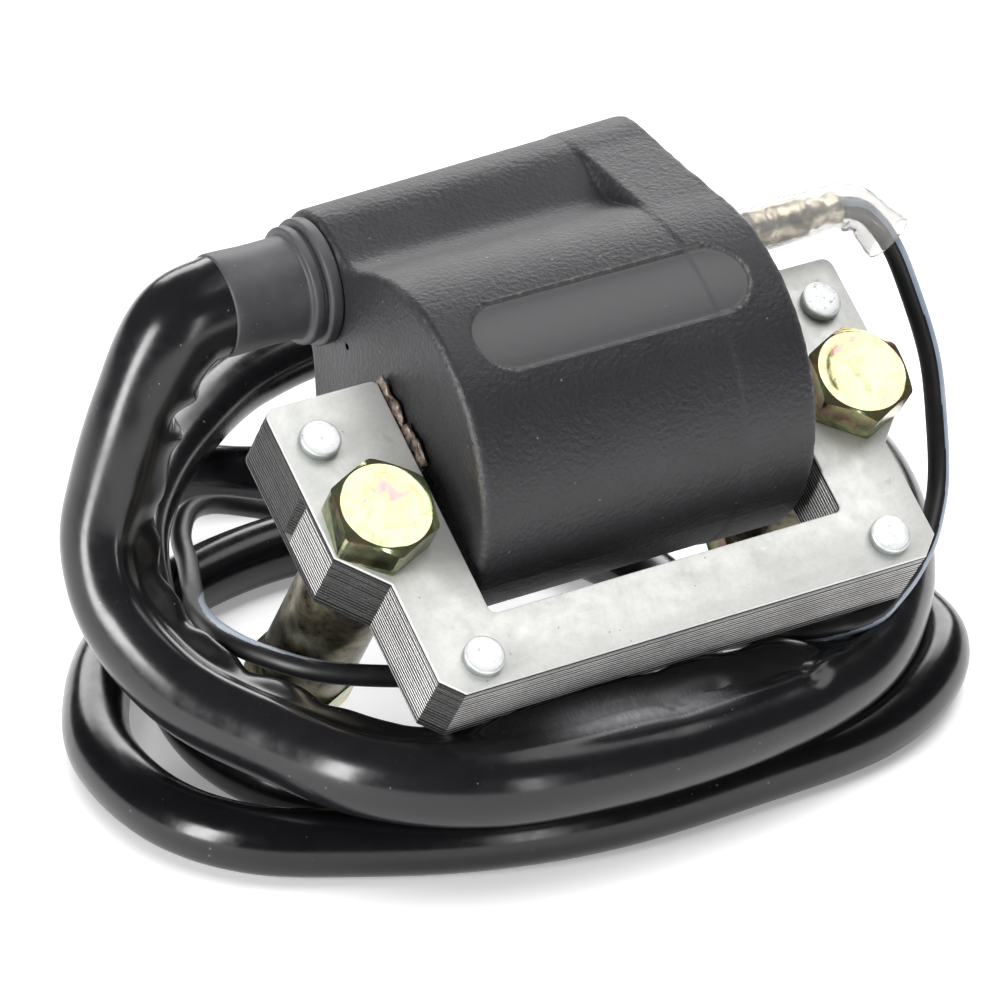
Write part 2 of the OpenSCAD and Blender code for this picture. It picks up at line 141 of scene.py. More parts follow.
def ease(x):
    """0 below 0, 1 above 1, smooth between."""
    x = np.clip(x, 0, 1)
    return x * x * (3 - 2 * x)


def bell(x, width):
    """1 at 0, falling smoothly to both sides."""
    return np.exp(-(x / width) ** 2)


# ---------------------------------------------------------------- materials
class Nodes:
    """Short calls for building one material's nodes; sizes are in millimetres."""

    def __init__(self, name):
        self.mat = bpy.data.materials.new(name)
        self.mat.use_nodes = True
        self.tree = self.mat.node_tree
        self.bsdf = self.tree.nodes["Principled BSDF"]
        self.coord = self.new("ShaderNodeTexCoord").outputs["Object"]

    def put(self, sock, v):
        """A link, a number, a vector or a colour on a socket."""
        if isinstance(v, bpy.types.NodeSocket):
            self.tree.links.new(v, sock)
        else:
            sock.default_value = (*v, 1) if sock.type == "RGBA" else v

    def new(self, kind, **inputs):
        """A node with its inputs set; an underscore stands for a space."""
        node = self.tree.nodes.new(kind)
        for key, v in inputs.items():
            self.put(node.inputs[key.replace("_", " ")], v)
        return node

    def mapped(self, scale, turn=(0, 0, 0)):
        return self.new("ShaderNodeMapping", Vector=self.coord, Scale=scale, Rotation=turn).outputs["Vector"]

    def noise(self, size_mm, detail=4, rough=0.55, vector=None, distort=0.0):
        node = self.new("ShaderNodeTexNoise", Vector=vector or self.coord, Scale=1 / (size_mm * MM),
                        Detail=detail, Roughness=rough, Distortion=distort)
        return node.outputs["Fac"]

    def spots(self, size_mm, radius):
        """1 inside scattered round spots, 0 outside."""
        node = self.new("ShaderNodeTexVoronoi", Vector=self.coord, Scale=1 / (size_mm * MM))
        return self.ramp(node.outputs["Distance"], [(radius * 0.6, (1, 1, 1)), (radius, (0, 0, 0))])

    def ramp(self, fac, stops):
        node = self.new("ShaderNodeValToRGB", Fac=fac)
        elements = node.color_ramp.elements
        while len(elements) < len(stops):
            elements.new(0.5)
        for e, (at, col) in zip(elements, stops):
            e.position = at
            e.color = (*col, 1)
        return node.outputs["Color"]

    def above(self, fac, lo, hi):
        """0 where a value is under lo, 1 where it is over hi."""
        return self.ramp(fac, [(lo, (0, 0, 0)), (hi, (1, 1, 1))])

    def remap(self, fac, lo, hi, from_lo=0.0, from_hi=1.0):
        node = self.new("ShaderNodeMapRange", Value=fac, From_Min=from_lo, From_Max=from_hi,
                        To_Min=lo, To_Max=hi)
        return node.outputs["Result"]

    def math(self, op, a, b=0.0):
        node = self.new("ShaderNodeMath")
        node.operation = op
        self.put(node.inputs[0], a)
        self.put(node.inputs[1], b)
        return node.outputs["Value"]

    def mix(self, fac, a, b):
        node = self.new("ShaderNodeMix")
        node.data_type = "RGBA"
        for key, kind, v in (("Factor", "VALUE", fac), ("A", "RGBA", a), ("B", "RGBA", b)):
            self.put([q for q in node.inputs if q.name == key and q.type == kind][0], v)
        return [q for q in node.outputs if q.type == "RGBA"][0]

    def tint(self, color, mask, amount, other):
        """Another colour laid on where a mask is."""
        return self.mix(self.math("MULTIPLY", mask, amount), color, other)

    def mask(self, name):
        node = self.new("ShaderNodeAttribute")
        node.attribute_name = name
        return node.outputs["Fac"]

    def along(self, direction):
        """Distance in metres along a direction."""
        node = self.new("ShaderNodeVectorMath")
        node.operation = "DOT_PRODUCT"
        self.put(node.inputs[0], self.coord)
        self.put(node.inputs[1], direction)
        return node.outputs["Value"]

    def bump(self, height, strength, depth_mm):
        node = self.new("ShaderNodeBump", Height=height, Strength=strength, Distance=depth_mm * MM)
        return node.outputs["Normal"]

    def finish(self, color, rough, normal=None, metal=0.0, **more):
        values = {"Base_Color": color, "Roughness": rough, "Normal": normal, "Metallic": metal, **more}
        for key, v in values.items():
            if v is not None:
                self.put(self.bsdf.inputs[key.replace("_", " ")], v)
        return self.mat


def zinc_material():
    n = Nodes("zinc_plate")
    cloud = n.noise(7, 5, 0.6)
    fine = n.noise(0.4, 3, 0.6)
    color = n.ramp(cloud, [(0.3, (0.6, 0.61, 0.59)), (0.5, (0.67, 0.675, 0.65)), (0.72, (0.71, 0.71, 0.685))])
    grit = n.spots(1.9, 0.055)
    color = n.tint(color, grit, 0.8, (0.1, 0.085, 0.07))
    mottle = n.above(n.noise(0.55, 4, 0.7), 0.42, 0.7)
    color = n.tint(color, mottle, 0.22, (0.42, 0.42, 0.4))
    lines = n.above(n.noise(1.6, 4, 0.65, n.mapped((0.3, 3, 3), (0, 0, 0.6))), 0.64, 0.68)
    color = n.tint(color, lines, 0.25, (0.86, 0.86, 0.85))
    stain = n.above(n.noise(2.6, 6, 0.72), 0.6, 0.76)
    color = n.tint(color, stain, 0.35, (0.25, 0.23, 0.2))
    rough = n.remap(n.noise(1.6, 5), 0.4, 0.6, 0.3, 0.7)
    return n.finish(color, rough, n.bump(fine, 0.35, 0.03), 0.4)


def sheet_material(name, bright, cross):
    """Sheared edges of the laminations: on every sheet a painted highlight band high up and a painted shade
    band over its lower half, near black in the gaps between sheets.
    """
    n = Nodes(name)
    level = n.math("MULTIPLY", n.along((0, -SIN_LEAN, COS_LEAN)), 1 / (SHEET_T * MM))
    streak = n.noise(0.5, 4, 0.7, n.mapped((0.25, 3, 3), (-LEAN, 0, 0)))
    wobble = n.math("MULTIPLY", n.noise(6, 2), 0.1)
    saw = n.math("FRACT", n.math("ADD", level, wobble))
    gap = (0.006, 0.006, 0.006)
    light = tuple(bright * v for v in (1, 0.985, 0.965))
    # painted shade in the gaps and low on each sheet, painted highlight higher up
    band = n.ramp(saw, [(0.0, gap), (0.48, (0.012, 0.012, 0.012)), (0.62, light), (0.8, light), (0.9, gap)])
    ticks = n.above(n.noise(0.32, 3, 0.6, n.mapped((2.4, 2.4, 0.3), (-LEAN, 0, 0))), 0.42, 0.58)
    color = n.tint(band, ticks, cross, (0.015, 0.014, 0.014))
    rough = n.remap(streak, 0.3, 0.5)
    return n.finish(color, rough, n.bump(streak, 0.35, 0.03), 0.5)


def rivet_material():
    n = Nodes("rivet_steel")
    cloud = n.noise(1.2, 5, 0.6)
    color = n.ramp(cloud, [(0.35, (0.72, 0.74, 0.74)), (0.6, (0.86, 0.87, 0.87))])
    rust = n.above(n.noise(0.55, 5, 0.75), 0.6, 0.67)
    color = n.tint(color, rust, 0.75, (0.16, 0.09, 0.06))
    # painted shade on the heads' sides and rolled rims, below the lit flat top
    color = n.tint(color, n.mask("side"), 0.8, (0.16, 0.19, 0.18))
    rough = n.remap(cloud, 0.36, 0.55)
    return n.finish(color, rough, n.bump(n.noise(0.6, 5, 0.65), 0.6, 0.06), 0.6)


def yellow_zinc_material():
    """Chromate over zinc: faint patches run from straw through green to pink."""
    n = Nodes("yellow_zinc")
    wash = n.noise(4.2, 2, 0.5, distort=0.7)
    color = n.ramp(wash, [(0.3, (0.56, 0.26, 0.3)), (0.4, (0.6, 0.48, 0.24)), (0.48, (0.6, 0.58, 0.3)),
                          (0.56, (0.5, 0.6, 0.32)), (0.63, (0.32, 0.44, 0.2)), (0.7, (0.6, 0.52, 0.3))])
    pale = n.mix(0.15, color, (0.6, 0.58, 0.42))
    dirt = n.above(n.noise(1.3, 5, 0.7), 0.56, 0.7)
    pale = n.tint(pale, dirt, 0.4, (0.08, 0.06, 0.03))
    # painted shade on the bolts below the head's top face: sides, shanks and threads
    shade = n.remap(n.noise(2.4, 3, 0.6), 0.15, 0.85, 0.35, 0.6)
    pale = n.tint(pale, n.mask("side"), shade, (0.07, 0.065, 0.04))
    rough = n.remap(n.noise(0.9, 4), 0.07, 0.22)
    return n.finish(pale, rough, n.bump(n.noise(1.1, 3, 0.5), 0.3, 0.05), 0.95)


def tube_material():
    n = Nodes("tube_zinc")
    patch = n.noise(2.2, 5, 0.7)
    color = n.ramp(patch, [(0.32, (0.06, 0.045, 0.025)), (0.46, (0.17, 0.15, 0.1)),
                           (0.66, (0.36, 0.34, 0.25))])
    rust = n.above(n.noise(1.1, 5, 0.75), 0.56, 0.66)
    color = n.tint(color, rust, 0.5, (0.3, 0.17, 0.1))
    rough = n.remap(patch, 0.22, 0.36)
    return n.finish(color, rough, n.bump(n.noise(1.4, 3), 0.18, 0.04), 0.95)


def housing_material():
    n = Nodes("housing_plastic")
    recess, worn = n.mask("recess"), n.mask("worn")
    cloud = n.noise(9, 5, 0.6)
    color = n.ramp(cloud, [(0.3, (0.011, 0.011, 0.013)), (0.7, (0.018, 0.018, 0.021))])
    color = n.mix(recess, color, (0.04, 0.04, 0.043))
    dust = n.spots(3.1, 0.045)
    color = n.tint(color, dust, 0.4, (0.35, 0.35, 0.36))
    chips = n.above(n.noise(0.7, 6, 0.75), 0.5, 0.66)
    # wear on the open end, a lighter parting line and step edge, and a painted highlight along the recess rim,
    # broken by chips, and the rounded left edge
    scuff = n.math("MULTIPLY", worn, n.remap(chips, 0.14, 0.8))
    color = n.mix(scuff, color, (0.3, 0.285, 0.27))
    grain = n.noise(0.5, 3, 0.5)
    smooth_part = n.math("SUBTRACT", 1.0, recess)
    height = n.math("MULTIPLY", grain, n.remap(smooth_part, 0.12, 1.0))
    rough = n.mix(recess, n.remap(n.noise(1.2, 4), 0.44, 0.56), (0.4, 0.4, 0.4))
    return n.finish(color, rough, n.bump(height, 1.0, 0.12), Specular_IOR_Level=0.62)


def rubber_material(name, base, lo, hi, dust_size, dust_amount):
    n = Nodes(name)
    cloud = n.noise(5, 4, 0.6)
    dark = tuple(v * 0.7 for v in base)
    color = n.ramp(cloud, [(0.3, dark), (0.7, base)])
    for finer, weaker in ((1, 1), (0.45, 0.6), (0.28, 0.35)):
        dust = n.spots(dust_size * finer, 0.055)
        color = n.tint(color, dust, dust_amount * weaker, (0.42, 0.41, 0.4))
    # handled patch: fine scratches across the sleeve, lightened also as a painted highlight of the bulge there
    lines = n.above(n.noise(0.6, 4, 0.7, n.mapped((2.6, 0.5, 0.5))), 0.46, 0.7)
    scuff = n.math("MULTIPLY", n.mask("scuff"), n.remap(lines, 0.6, 1.0))
    color = n.tint(color, scuff, 0.8, (0.34, 0.34, 0.355))
    rough = n.remap(n.noise(1.5, 5, 0.65), lo, hi, 0.3, 0.7)
    rough = n.math("ADD", rough, n.math("MULTIPLY", scuff, 0.2))
    return n.finish(color, rough, n.bump(n.noise(0.8, 4), 0.12, 0.03))


def boot_material():
    n = Nodes("boot_rubber")
    cloud = n.noise(4, 5, 0.6)
    color = n.ramp(cloud, [(0.3, (0.045, 0.045, 0.048)), (0.7, (0.075, 0.075, 0.08))])
    dust = n.spots(1.3, 0.07)
    color = n.tint(color, dust, 0.35, (0.4, 0.39, 0.37))
    thread = n.above(n.noise(1.1, 5, 0.7, n.mapped((1, 4, 1)), 1.5), 0.66, 0.7)
    color = n.tint(color, thread, 0.25, (0.3, 0.3, 0.3))
    return n.finish(color, n.remap(cloud, 0.42, 0.58), n.bump(n.noise(0.3, 3), 0.25, 0.03))


def mottled(name, size_mm, detail, colors, rough, bump, metal=0.0):
    """Two colours in soft patches; bump is noise size, its detail, strength and depth."""
    n = Nodes(name)
    cloud = n.noise(size_mm, *detail)
    bump_size, bump_detail, strength, depth = bump
    height = n.noise(bump_size, *bump_detail)
    return n.finish(n.ramp(cloud, colors), n.remap(cloud, *rough), n.bump(height, strength, depth), metal)


def vinyl_material(name, size_mm, dark, light):
    return mottled(name, size_mm, (4,), [(0.3, dark), (0.7, light)], (0.32, 0.48), (0.7, (3,), 0.15, 0.02))


def metal_material(name, dark, light, size_mm, rough_lo, rough_hi, metal=1.0):
    return mottled(name, size_mm, (5, 0.65), [(0.35, dark), (0.65, light)], (rough_lo, rough_hi),
                   (size_mm * 0.3, (4,), 0.25, 0.03), metal)


def plastic_material(name, dark, light, rough):
    return mottled(name, 3, (4,), [(0.3, dark), (0.7, light)], (rough - 0.08, rough + 0.08),
                   (0.5, (3,), 0.15, 0.03))


def clear_material():
    n = Nodes("clear_vinyl")
    haze = n.noise(2.4, 5, 0.65)
    color = n.ramp(haze, [(0.4, (0.84, 0.83, 0.81)), (0.7, (0.96, 0.96, 0.95))])
    bump = n.bump(n.noise(1.6, 4), 0.35, 0.12)
    return n.finish(color, n.remap(haze, 0.06, 0.24, 0.35, 0.75), bump, Transmission_Weight=0.84, IOR=1.25)


def wound_material(name, dark, light):
    """Fine turns of enamelled wire round an axis along X."""
    n = Nodes(name)
    wave = n.new("ShaderNodeTexWave", Vector=n.coord, Scale=1 / (1.2 * MM), Distortion=0.4)
    wave.bands_direction = "X"
    turns = wave.outputs["Fac"]
    color = n.ramp(turns, [(0.2, dark), (0.8, light)])
    return n.finish(color, n.remap(n.noise(1, 4), 0.28, 0.4), n.bump(turns, 0.6, 0.06), 0.8)


ZINC, RIVET = zinc_material(), rivet_material()
# copies of one sheet steel: bright, grey and dark; the dark one is painted shade on slanted faces
SHEET = sheet_material("sheet_steel", 0.8, 0.12)
SHEET_GREY = sheet_material("sheet_steel_grey", 0.68, 0.28)
SHEET_DARK = sheet_material("sheet_steel_dark", 0.13, 0.6)
YELLOW, TUBE = yellow_zinc_material(), tube_material()
HOUSING, BOOT = housing_material(), boot_material()
POTTING = mottled("potting_resin", 5, (4,), [(0.35, (0.022, 0.02, 0.018)), (0.7, (0.045, 0.04, 0.036))],
                  (0.25, 0.5), (2.5, (5, 0.6), 0.5, 0.12))
SLEEVE = rubber_material("sleeve_vinyl", (0.01, 0.01, 0.0115), 0.18, 0.27, 2.0, 0.35)
LEAD = rubber_material("lead_rubber", (0.004, 0.004, 0.005), 0.16, 0.26, 3.4, 0.2)
WIRE = vinyl_material("wire_vinyl", 2, (0.008, 0.008, 0.009), (0.014, 0.014, 0.016))
STRIPE = vinyl_material("wire_stripe", 2.5, (0.2, 0.25, 0.33), (0.3, 0.35, 0.42))
BRASS = metal_material("contact_brass", (0.55, 0.4, 0.18), (0.82, 0.66, 0.36), 2, 0.2, 0.4)
TIN = metal_material("terminal_tin", (0.09, 0.06, 0.03), (0.86, 0.78, 0.6), 1.7, 0.16, 0.34, 0.85)
COPPER = metal_material("conductor_copper", (0.45, 0.22, 0.12), (0.8, 0.46, 0.28), 1, 0.25, 0.4)
STRIP = metal_material("strip_metal", (0.02, 0.014, 0.01), (0.34, 0.27, 0.22), 0.8, 0.3, 0.6, 0.55)
BOBBIN = plastic_material("bobbin_plastic", (0.72, 0.68, 0.58), (0.85, 0.82, 0.74), 0.5)
FILM = plastic_material("insulation_film", (0.62, 0.52, 0.26), (0.78, 0.7, 0.42), 0.3)
WOUND = wound_material("copper_wire", (0.3, 0.12, 0.05), (0.7, 0.36, 0.18))
CLEAR = clear_material()

# ---------------------------------------------------------------- routes, mm, as in the CAD
SLEEVE_R, LEAD_R, WIRE_R = 4.75, 3.5, 1.15
SLEEVE_ROUTE = [
    (-31, 18.3, 47.6), (-34.5, 18.4, 46.6), (-37.5, 18.5, 43), (-40, 18.5, 38),
    (-42.5, 18.5, 31), (-44.5, 17.5, 24), (-44.5, 13, 17.5), (-42, 4, 13),
    (-37.5, -7, 12), (-32, -17.6, 11.9), (-22, -24.5, 11.8), (-7, -27.1, 11.5),
    (8.4, -26.5, 10.9), (21.4, -22.9, 10.9), (30.9, -14.7, 11.1), (37.7, -4.7, 11.6),
    (42, 5.9, 12.2), (44.5, 19, 12),
]
# how far the sleeve is drawn in on the lead at each point
DRAWN_IN = [0, 0, 0, 0, 0, 0, 0, 0, 0, 0, 0, 0.2, 0.8, 0.95, 0.95, 0.8, 0.55, 0.15]
LEAD_ROUTE = [
    (44.5, 33, 12), (38, 47, 12), (26.5, 58, 12), (11, 64.5, 12), (-5, 61.5, 12),
    (-18, 52.5, 12), (-27.5, 42.5, 12), (-34, 32, 11.5), (-37.5, 20, 8), (-38, 8, 4),
] + [(x, y, LEAD_R) for x, y in (
    (-34, -4), (-24, -10), (-11, -12), (2, -10.5), (12, -4), (17.5, 6), (17.5, 18), (12.5, 29),
    (3, 36), (-13, 39.5), (-28, 36.5), (-38, 29.5), (-44.5, 21), (-48.5, 11), (-48, -1),
    (-43, -10), (-34, -16), (-22, -21.5), (-8, -24.5), (8, -24.5), (22, -23.5), (32, -19),
    (38, -12), (39, -3), (40, 9), (41, 23), (38, 37), (28.5, 49.5), (12, 54), (-4.5, 53),
    (-16, 59.6),
)]
WIRE_ROUTE = [
    (35, 5, 48), (38, 4.5, 47), (40, 2.5, 44), (41, 0, 39.5),
    (41.3, -4, 33), (40.1, -7.6, 27), (38, -11.4, 22.6), (35.2, -14.6, 20),
    (33, -16.5, 18.5), (30.9, -17.6, 17), (29.2, -18.5, 16.3), (27.2, -19.6, 15.9),
    (25, -20.7, 15.5), (23, -21.2, 15.4), (20.8, -21.2, 15.3), (18.8, -20.5, 15),
    (16.6, -19.4, 14.7), (14.4, -18.2, 14.6), (9, -16.8, 14.8), (-3, -15, 15.3),
    (-16, -12.1, 15.7), (-29.5, -5.3, 16.2), (-35, 1.8, 16.4), (-36.3, 9, 15.7),
    (-34.5, 17, 13.5), (-31, 25, 10.5), (-27.5, 33, 8.9), (-25, 39.5, 8.3),
    (-21.5, 44.5, 7.8), (-17, 47.6, 6), (-12, 47.8, 4), (-7, 46.2, 2.5), (-2, 45.5, 2),
]

PER_SPAN = 24


def curve_through(points):
    """A smooth curve through the points."""
    p = np.array(points, float)
    q = np.vstack([2 * p[0] - p[1], p, 2 * p[-1] - p[-2]])
    t = np.arange(PER_SPAN)[:, None] / PER_SPAN
    spans = [0.5 * (2 * b + (c - a) * t + (2 * a - 5 * b + 4 * c - d) * t * t
                    + (3 * b - a - 3 * c + d) * t ** 3) for a, b, c, d in zip(q, q[1:], q[2:], q[3:])]
    return np.vstack([*spans, p[-1]])


def lengths(points):
    return np.concatenate([[0], np.cumsum(np.linalg.norm(np.diff(points, axis=0), axis=1))])


def evenly(points, step):
    """The same curve with points an even distance apart."""
    s = lengths(points)
    at = np.linspace(0, s[-1], max(2, int(round(s[-1] / step)) + 1))
    return np.stack([np.interp(at, s, points[:, k]) for k in range(3)], 1), at


def unit(v):
    return v / np.maximum(np.linalg.norm(v, axis=-1, keepdims=True), 1e-12)


def tangents(points):
    return unit(np.gradient(points, axis=0))


def frames_facing(points, t, toward):
    """For each ring: a sideways vector that faces a place, and the one square to it."""
    u = np.array(toward) - points
    u = unit(u - (u * t).sum(1)[:, None] * t)
    return u, np.cross(t, u)


def tube_verts(points, u, v, radius, sides):
    """Rings round a path; radius is a number or an array of rings x sides."""
    a = around(sides)
    ring = np.cos(a)[None, :, None] * u[:, None] + np.sin(a)[None, :, None] * v[:, None]
    r = np.broadcast_to(np.asarray(radius, float), (len(points), sides))
    return (points[:, None] + ring * r[:, :, None]).reshape(-1, 3)


def steady_frames(points, t):
    """Sideways vectors carried along the path without twisting."""
    u = np.zeros_like(points)
    first = np.cross((0, 0, 1), t[0])
    u[0] = first / np.linalg.norm(first)
    for i in range(1, len(points)):
        w = u[i - 1] - (u[i - 1] @ t[i]) * t[i]
        u[i] = w / np.linalg.norm(w)
    return u, np.cross(t, u)


def end_rings(path, t, u, v, rings, sides):
    """More rings at a path's end, each (distance past the end, radius)."""
    return [tube_verts((path[-1] + ahead * t[-1])[None], u[-1:], v[-1:], r, sides) for ahead, r in rings]


# ---------------------------------------------------------------- cords
def high_tension_lead():
    whole = curve_through(SLEEVE_ROUTE + LEAD_ROUTE)
    path, at = evenly(whole, 1.0)
    path[:, 2] = np.maximum(path[:, 2], LEAD_R)
    t = tangents(path)
    u, v = steady_frames(path, t)
    sides = 36
    radius = LEAD_R + noise_at(path, 0.06, 1)[:, None] * 0.05
    # cut face: rounded rim, insulation, a shallow hole for the conductor
    cut = [(0.06, LEAD_R - 0.1), (0.1, LEAD_R - 0.5), (0.02, 2.2), (0.06, 1.15), (-0.9, 1.05)]
    verts = np.vstack([tube_verts(path, u, v, radius, sides)] + end_rings(path, t, u, v, cut, sides))
    faces = capped(len(verts) // sides, sides)
    obj = add_mesh("high_tension_lead_skin", verts, faces, LEAD, "lead_rubber")
    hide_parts("high_tension_lead", "lead_cut_end", "lead_entry")
    return obj, path, lengths(path)[-1]


def lead_strands(path):
    """Stranded conductor in the cut face: a core strand and six round it."""
    t = tangents(path)[-1]
    end = path[-1]
    side = unit(np.cross(t, (0, 0, 1)))
    up = np.cross(t, side)
    strands = []
    places = [(0, 0)] + [(0.62 * math.cos(a), 0.62 * math.sin(a)) for a in np.arange(6) * math.pi / 3]
    sides, n = 14, 4
    sideways, upward = np.repeat(side[None], n, 0), np.repeat(up[None], n, 0)
    radius = np.array([0.3, 0.3, 0.3, 0.2])[:, None] * np.ones((1, sides))
    for k, (a, b) in enumerate(places):
        reach = -0.25 + 0.12 * math.sin(k * 2.4)
        line = np.array([end - t * 11.9, end - t * 0.5, end + t * (reach - 0.1), end + t * reach])
        ring = tube_verts(line + a * side + b * up, sideways, upward, radius, sides)
        strands.append((ring, grid_faces(n, sides) + end_cap((n - 1) * sides, sides, False)))
    obj = add_mesh("lead_strands", *joined(strands), COPPER, "conductor_copper")
    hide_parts("lead_conductor")
    return obj


def angle_off(a, b):
    """Difference of two angles in degrees, from -180 to 180."""
    return (a - b + 180) % 360 - 180


def with_marks(radius, s, a, marks):
    """Radii with soft marks: place along, angle from the inner side, reach along, reach round, height."""
    for s0, a0, ds, da, height in marks:
        radius = radius + height * np.exp(-((s - s0) / ds) ** 2 - (angle_off(a, a0) / da) ** 2)
    return radius


SLEEVE_MARKS = [
    # folds behind the boot and round the inner side
    (10.5, 15, 1.5, 34, 0.7), (13, 20, 1.5, 36, -1.1), (15.2, 12, 1.2, 26, 0.9), (17, 100, 5.0, 24, 0.2),
    (21, 25, 3.5, 24, 0.5), (24.5, 26, 1.8, 30, -0.6), (28, 20, 3.2, 20, 0.4), (33, 28, 2.2, 26, -0.35),
    (37.5, 10, 2.4, 22, 0.7), (41.5, 22, 1.8, 26, -0.55), (46, 12, 3.6, 22, 0.9), (52, 20, 2.0, 26, -0.6),
    (57, 6, 3.0, 24, 0.55), (62, 16, 1.8, 30, -0.5), (70, 5, 4.0, 24, 0.4),
    # shallow dents along the front
    (102, 75, 2.2, 34, -0.25), (108, 60, 6.0, 40, 0.2), (118.5, 80, 1.2, 26, -0.45),
    (121, 95, 2.2, 34, 0.25), (124.5, 70, 1.0, 22, -0.35), (130, 60, 3.4, 30, -0.3), (141, 85, 5.0, 30, 0.2),
    # the flat flap under the core's front bar
    (86, 36, 8.0, 15, 2.3), (97, 34, 8.0, 14, 2.9), (109, 30, 8.0, 13, 3.7), (119, 26, 5.5, 13, 3.0),
    (98, 70, 6.0, 13, 0.75), (101.8, 66, 0.45, 9, -0.7), (103.3, 63, 0.45, 8, -0.5),
    (108.5, 52, 1.4, 5, -0.5), (107.5, 58, 1.6, 4, 0.3),
    (99, 92, 9.0, 9, 0.5), (112, 86, 7.0, 8, 0.55), (124, 80, 6.0, 8, 0.5),
]


def lead_sleeve():
    curve = curve_through(SLEEVE_ROUTE)
    path, at = evenly(curve, 0.45)
    drawn = np.interp(np.arange(len(curve)) / PER_SPAN, np.arange(len(DRAWN_IN)), DRAWN_IN)
    drawn = np.interp(at, lengths(curve), drawn)
    t = tangents(path)
    t[0] = (-1, 0, 0)
    u, v = frames_facing(path, t, (0, 12, 22))
    v = v * np.sign(v[:, 2].mean())
    sides = 96
    angle = np.degrees(around(sides))
    s, a = at[:, None], angle[None, :]
    radius = (SLEEVE_R - 0.1 - drawn + 0.55 * ease((13 - at) / 9))[:, None]
    # the empty inner side lies flat against the lead between two long ridges
    slack = ease((at - 18) / 14) * ease((86 - at) / 20)
    groove = -0.65 * bell(angle_off(angle, 62), 17)
    ridge = 0.75 * bell(angle_off(angle, 26), 15) + 0.2 * bell(angle_off(angle, 92), 14)
    radius = with_marks(radius + slack[:, None] * (groove + ridge), s, a, SLEEVE_MARKS)
    verts = tube_verts(path, u, v, radius, sides)
    wave = noise_at(verts, 0.16, 3) * 0.16 + noise_at(verts, 0.5, 4) * 0.05
    loose = (ease((30 - at) / 12) + ease((at - 26) / 10) * ease((92 - at) / 12)
             + ease((at - 96) / 6) * ease((146 - at) / 8))
    near_ends = ease(at / 4) * ease((at[-1] - at) / 3)
    wave = wave * np.repeat(0.35 + 0.65 * loose, sides) * np.repeat(near_ends, sides)
    inner_side = 0.02 + 0.98 * bell(angle_off(angle, 0), 60)
    radius = radius + wave.reshape(len(path), sides) * inner_side[None]
    # no wider than the CAD allows, except at the flap
    widest = SLEEVE_R + 0.9 + 4.4 * (ease((at - 78) / 8) * ease((128 - at) / 6))
    radius = np.minimum(radius, widest[:, None])
    verts = tube_verts(path, u, v, radius, sides)
    # the far end is cut square on the lead
    cut = [(0.12, SLEEVE_R - 0.35), (0.08, SLEEVE_R - 0.75), (-0.6, LEAD_R + 0.3), (-3.0, LEAD_R + 0.12)]
    verts = np.vstack([verts] + end_rings(path, t, u, v, cut, sides))
    faces = grid_faces(len(verts) // sides, sides)
    # scratched patch on the front, lightened also as a painted highlight of the bulge there
    scuff = np.exp(-((s - 99) / 9) ** 4 - (angle_off(a, 70) / 22) ** 4).reshape(-1)
    scuff = np.pad(scuff, (0, len(verts) - len(scuff)))
    obj = add_mesh("lead_sleeve_skin", verts, faces, SLEEVE, "sleeve_vinyl", masks={"scuff": scuff})
    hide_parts("lead_sleeve")
    return obj


# Where the wire's stripe faces: place along the wire (mm), and the direction (world)
STRIPE_WAY = [(8, (0.5, -0.86, 0.3)), (25, (0.54, -0.81, 0.25)), (48, (0.42, -0.86, -0.2)),
              (58, (0.1, -0.8, -0.6)), (76, (-0.4, -0.7, -0.55)), (88, (0, 0.3, 1)),
              (104, (0, 0.75, 0.65)), (114, (0, 0.5, 0.85)), (124, (0.1, 0.1, 1)),
              (133, (0.6, 0.6, 0.4)), (150, (0.5, 0.8, -0.4)), (172, (0.2, 0.5, -0.9))]
STRIPE_HALF = 27.0


def low_tension_wire():
    path, at = evenly(curve_through(WIRE_ROUTE), 0.8)
    t = tangents(path)
    u, v = steady_frames(path, t)
    sides = 72
    verts = tube_verts(path, u, v, WIRE_R, sides)
    faces = capped(len(path), sides)
    places, turns = [], []
    for s, way in STRIPE_WAY:
        i = int(np.argmin(np.abs(at - s)))
        places.append(s)
        turns.append(math.atan2(np.dot(way, v[i]), np.dot(way, u[i])))
    turn = np.interp(at, places, np.unwrap(turns))
    mid_face = np.degrees(around(sides) + math.pi / sides)
    striped = np.abs(angle_off(mid_face, np.degrees(turn[:-1, None]))) < STRIPE_HALF
    kinds = [int(q) for q in striped.reshape(-1)] + [0, 0]
    obj = add_mesh("low_tension_wire_skin", verts, faces, [WIRE, STRIPE], "wire_vinyl", face_mats=kinds)
    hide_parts("low_tension_wire")
    return obj, path, lengths(path)[-1]


# ---------------------------------------------------------------- turned and hexagonal pieces
def turned(profile, axis, place, sides=64, wobble=0.0, seed=0):
    """A turned shape: (radius, height) points about an axis through a place, all in mm."""
    axis = unit(np.asarray(axis, float))
    side = unit(np.cross(axis, (0.3, 0.2, 0.9)))
    up = np.cross(axis, side)
    a = around(sides)
    spoke = np.cos(a)[:, None] * side + np.sin(a)[:, None] * up
    verts = np.vstack([np.asarray(place) + h * axis + r * spoke for r, h in profile])
    if wobble:
        shift = noise_at(verts, 1.1, seed) * wobble
        verts = verts + shift[:, None] * axis + (noise_at(verts, 0.9, seed + 5) * wobble)[:, None] * side
    return verts, capped(len(profile), sides)


def joined(parts):
    """Several (verts, faces) as one."""
    verts, faces, at = [], [], 0
    for v, f in parts:
        verts.append(v)
        faces += [tuple(i + at for i in face) for face in f]
        at += len(v)
    return np.vstack(verts), faces


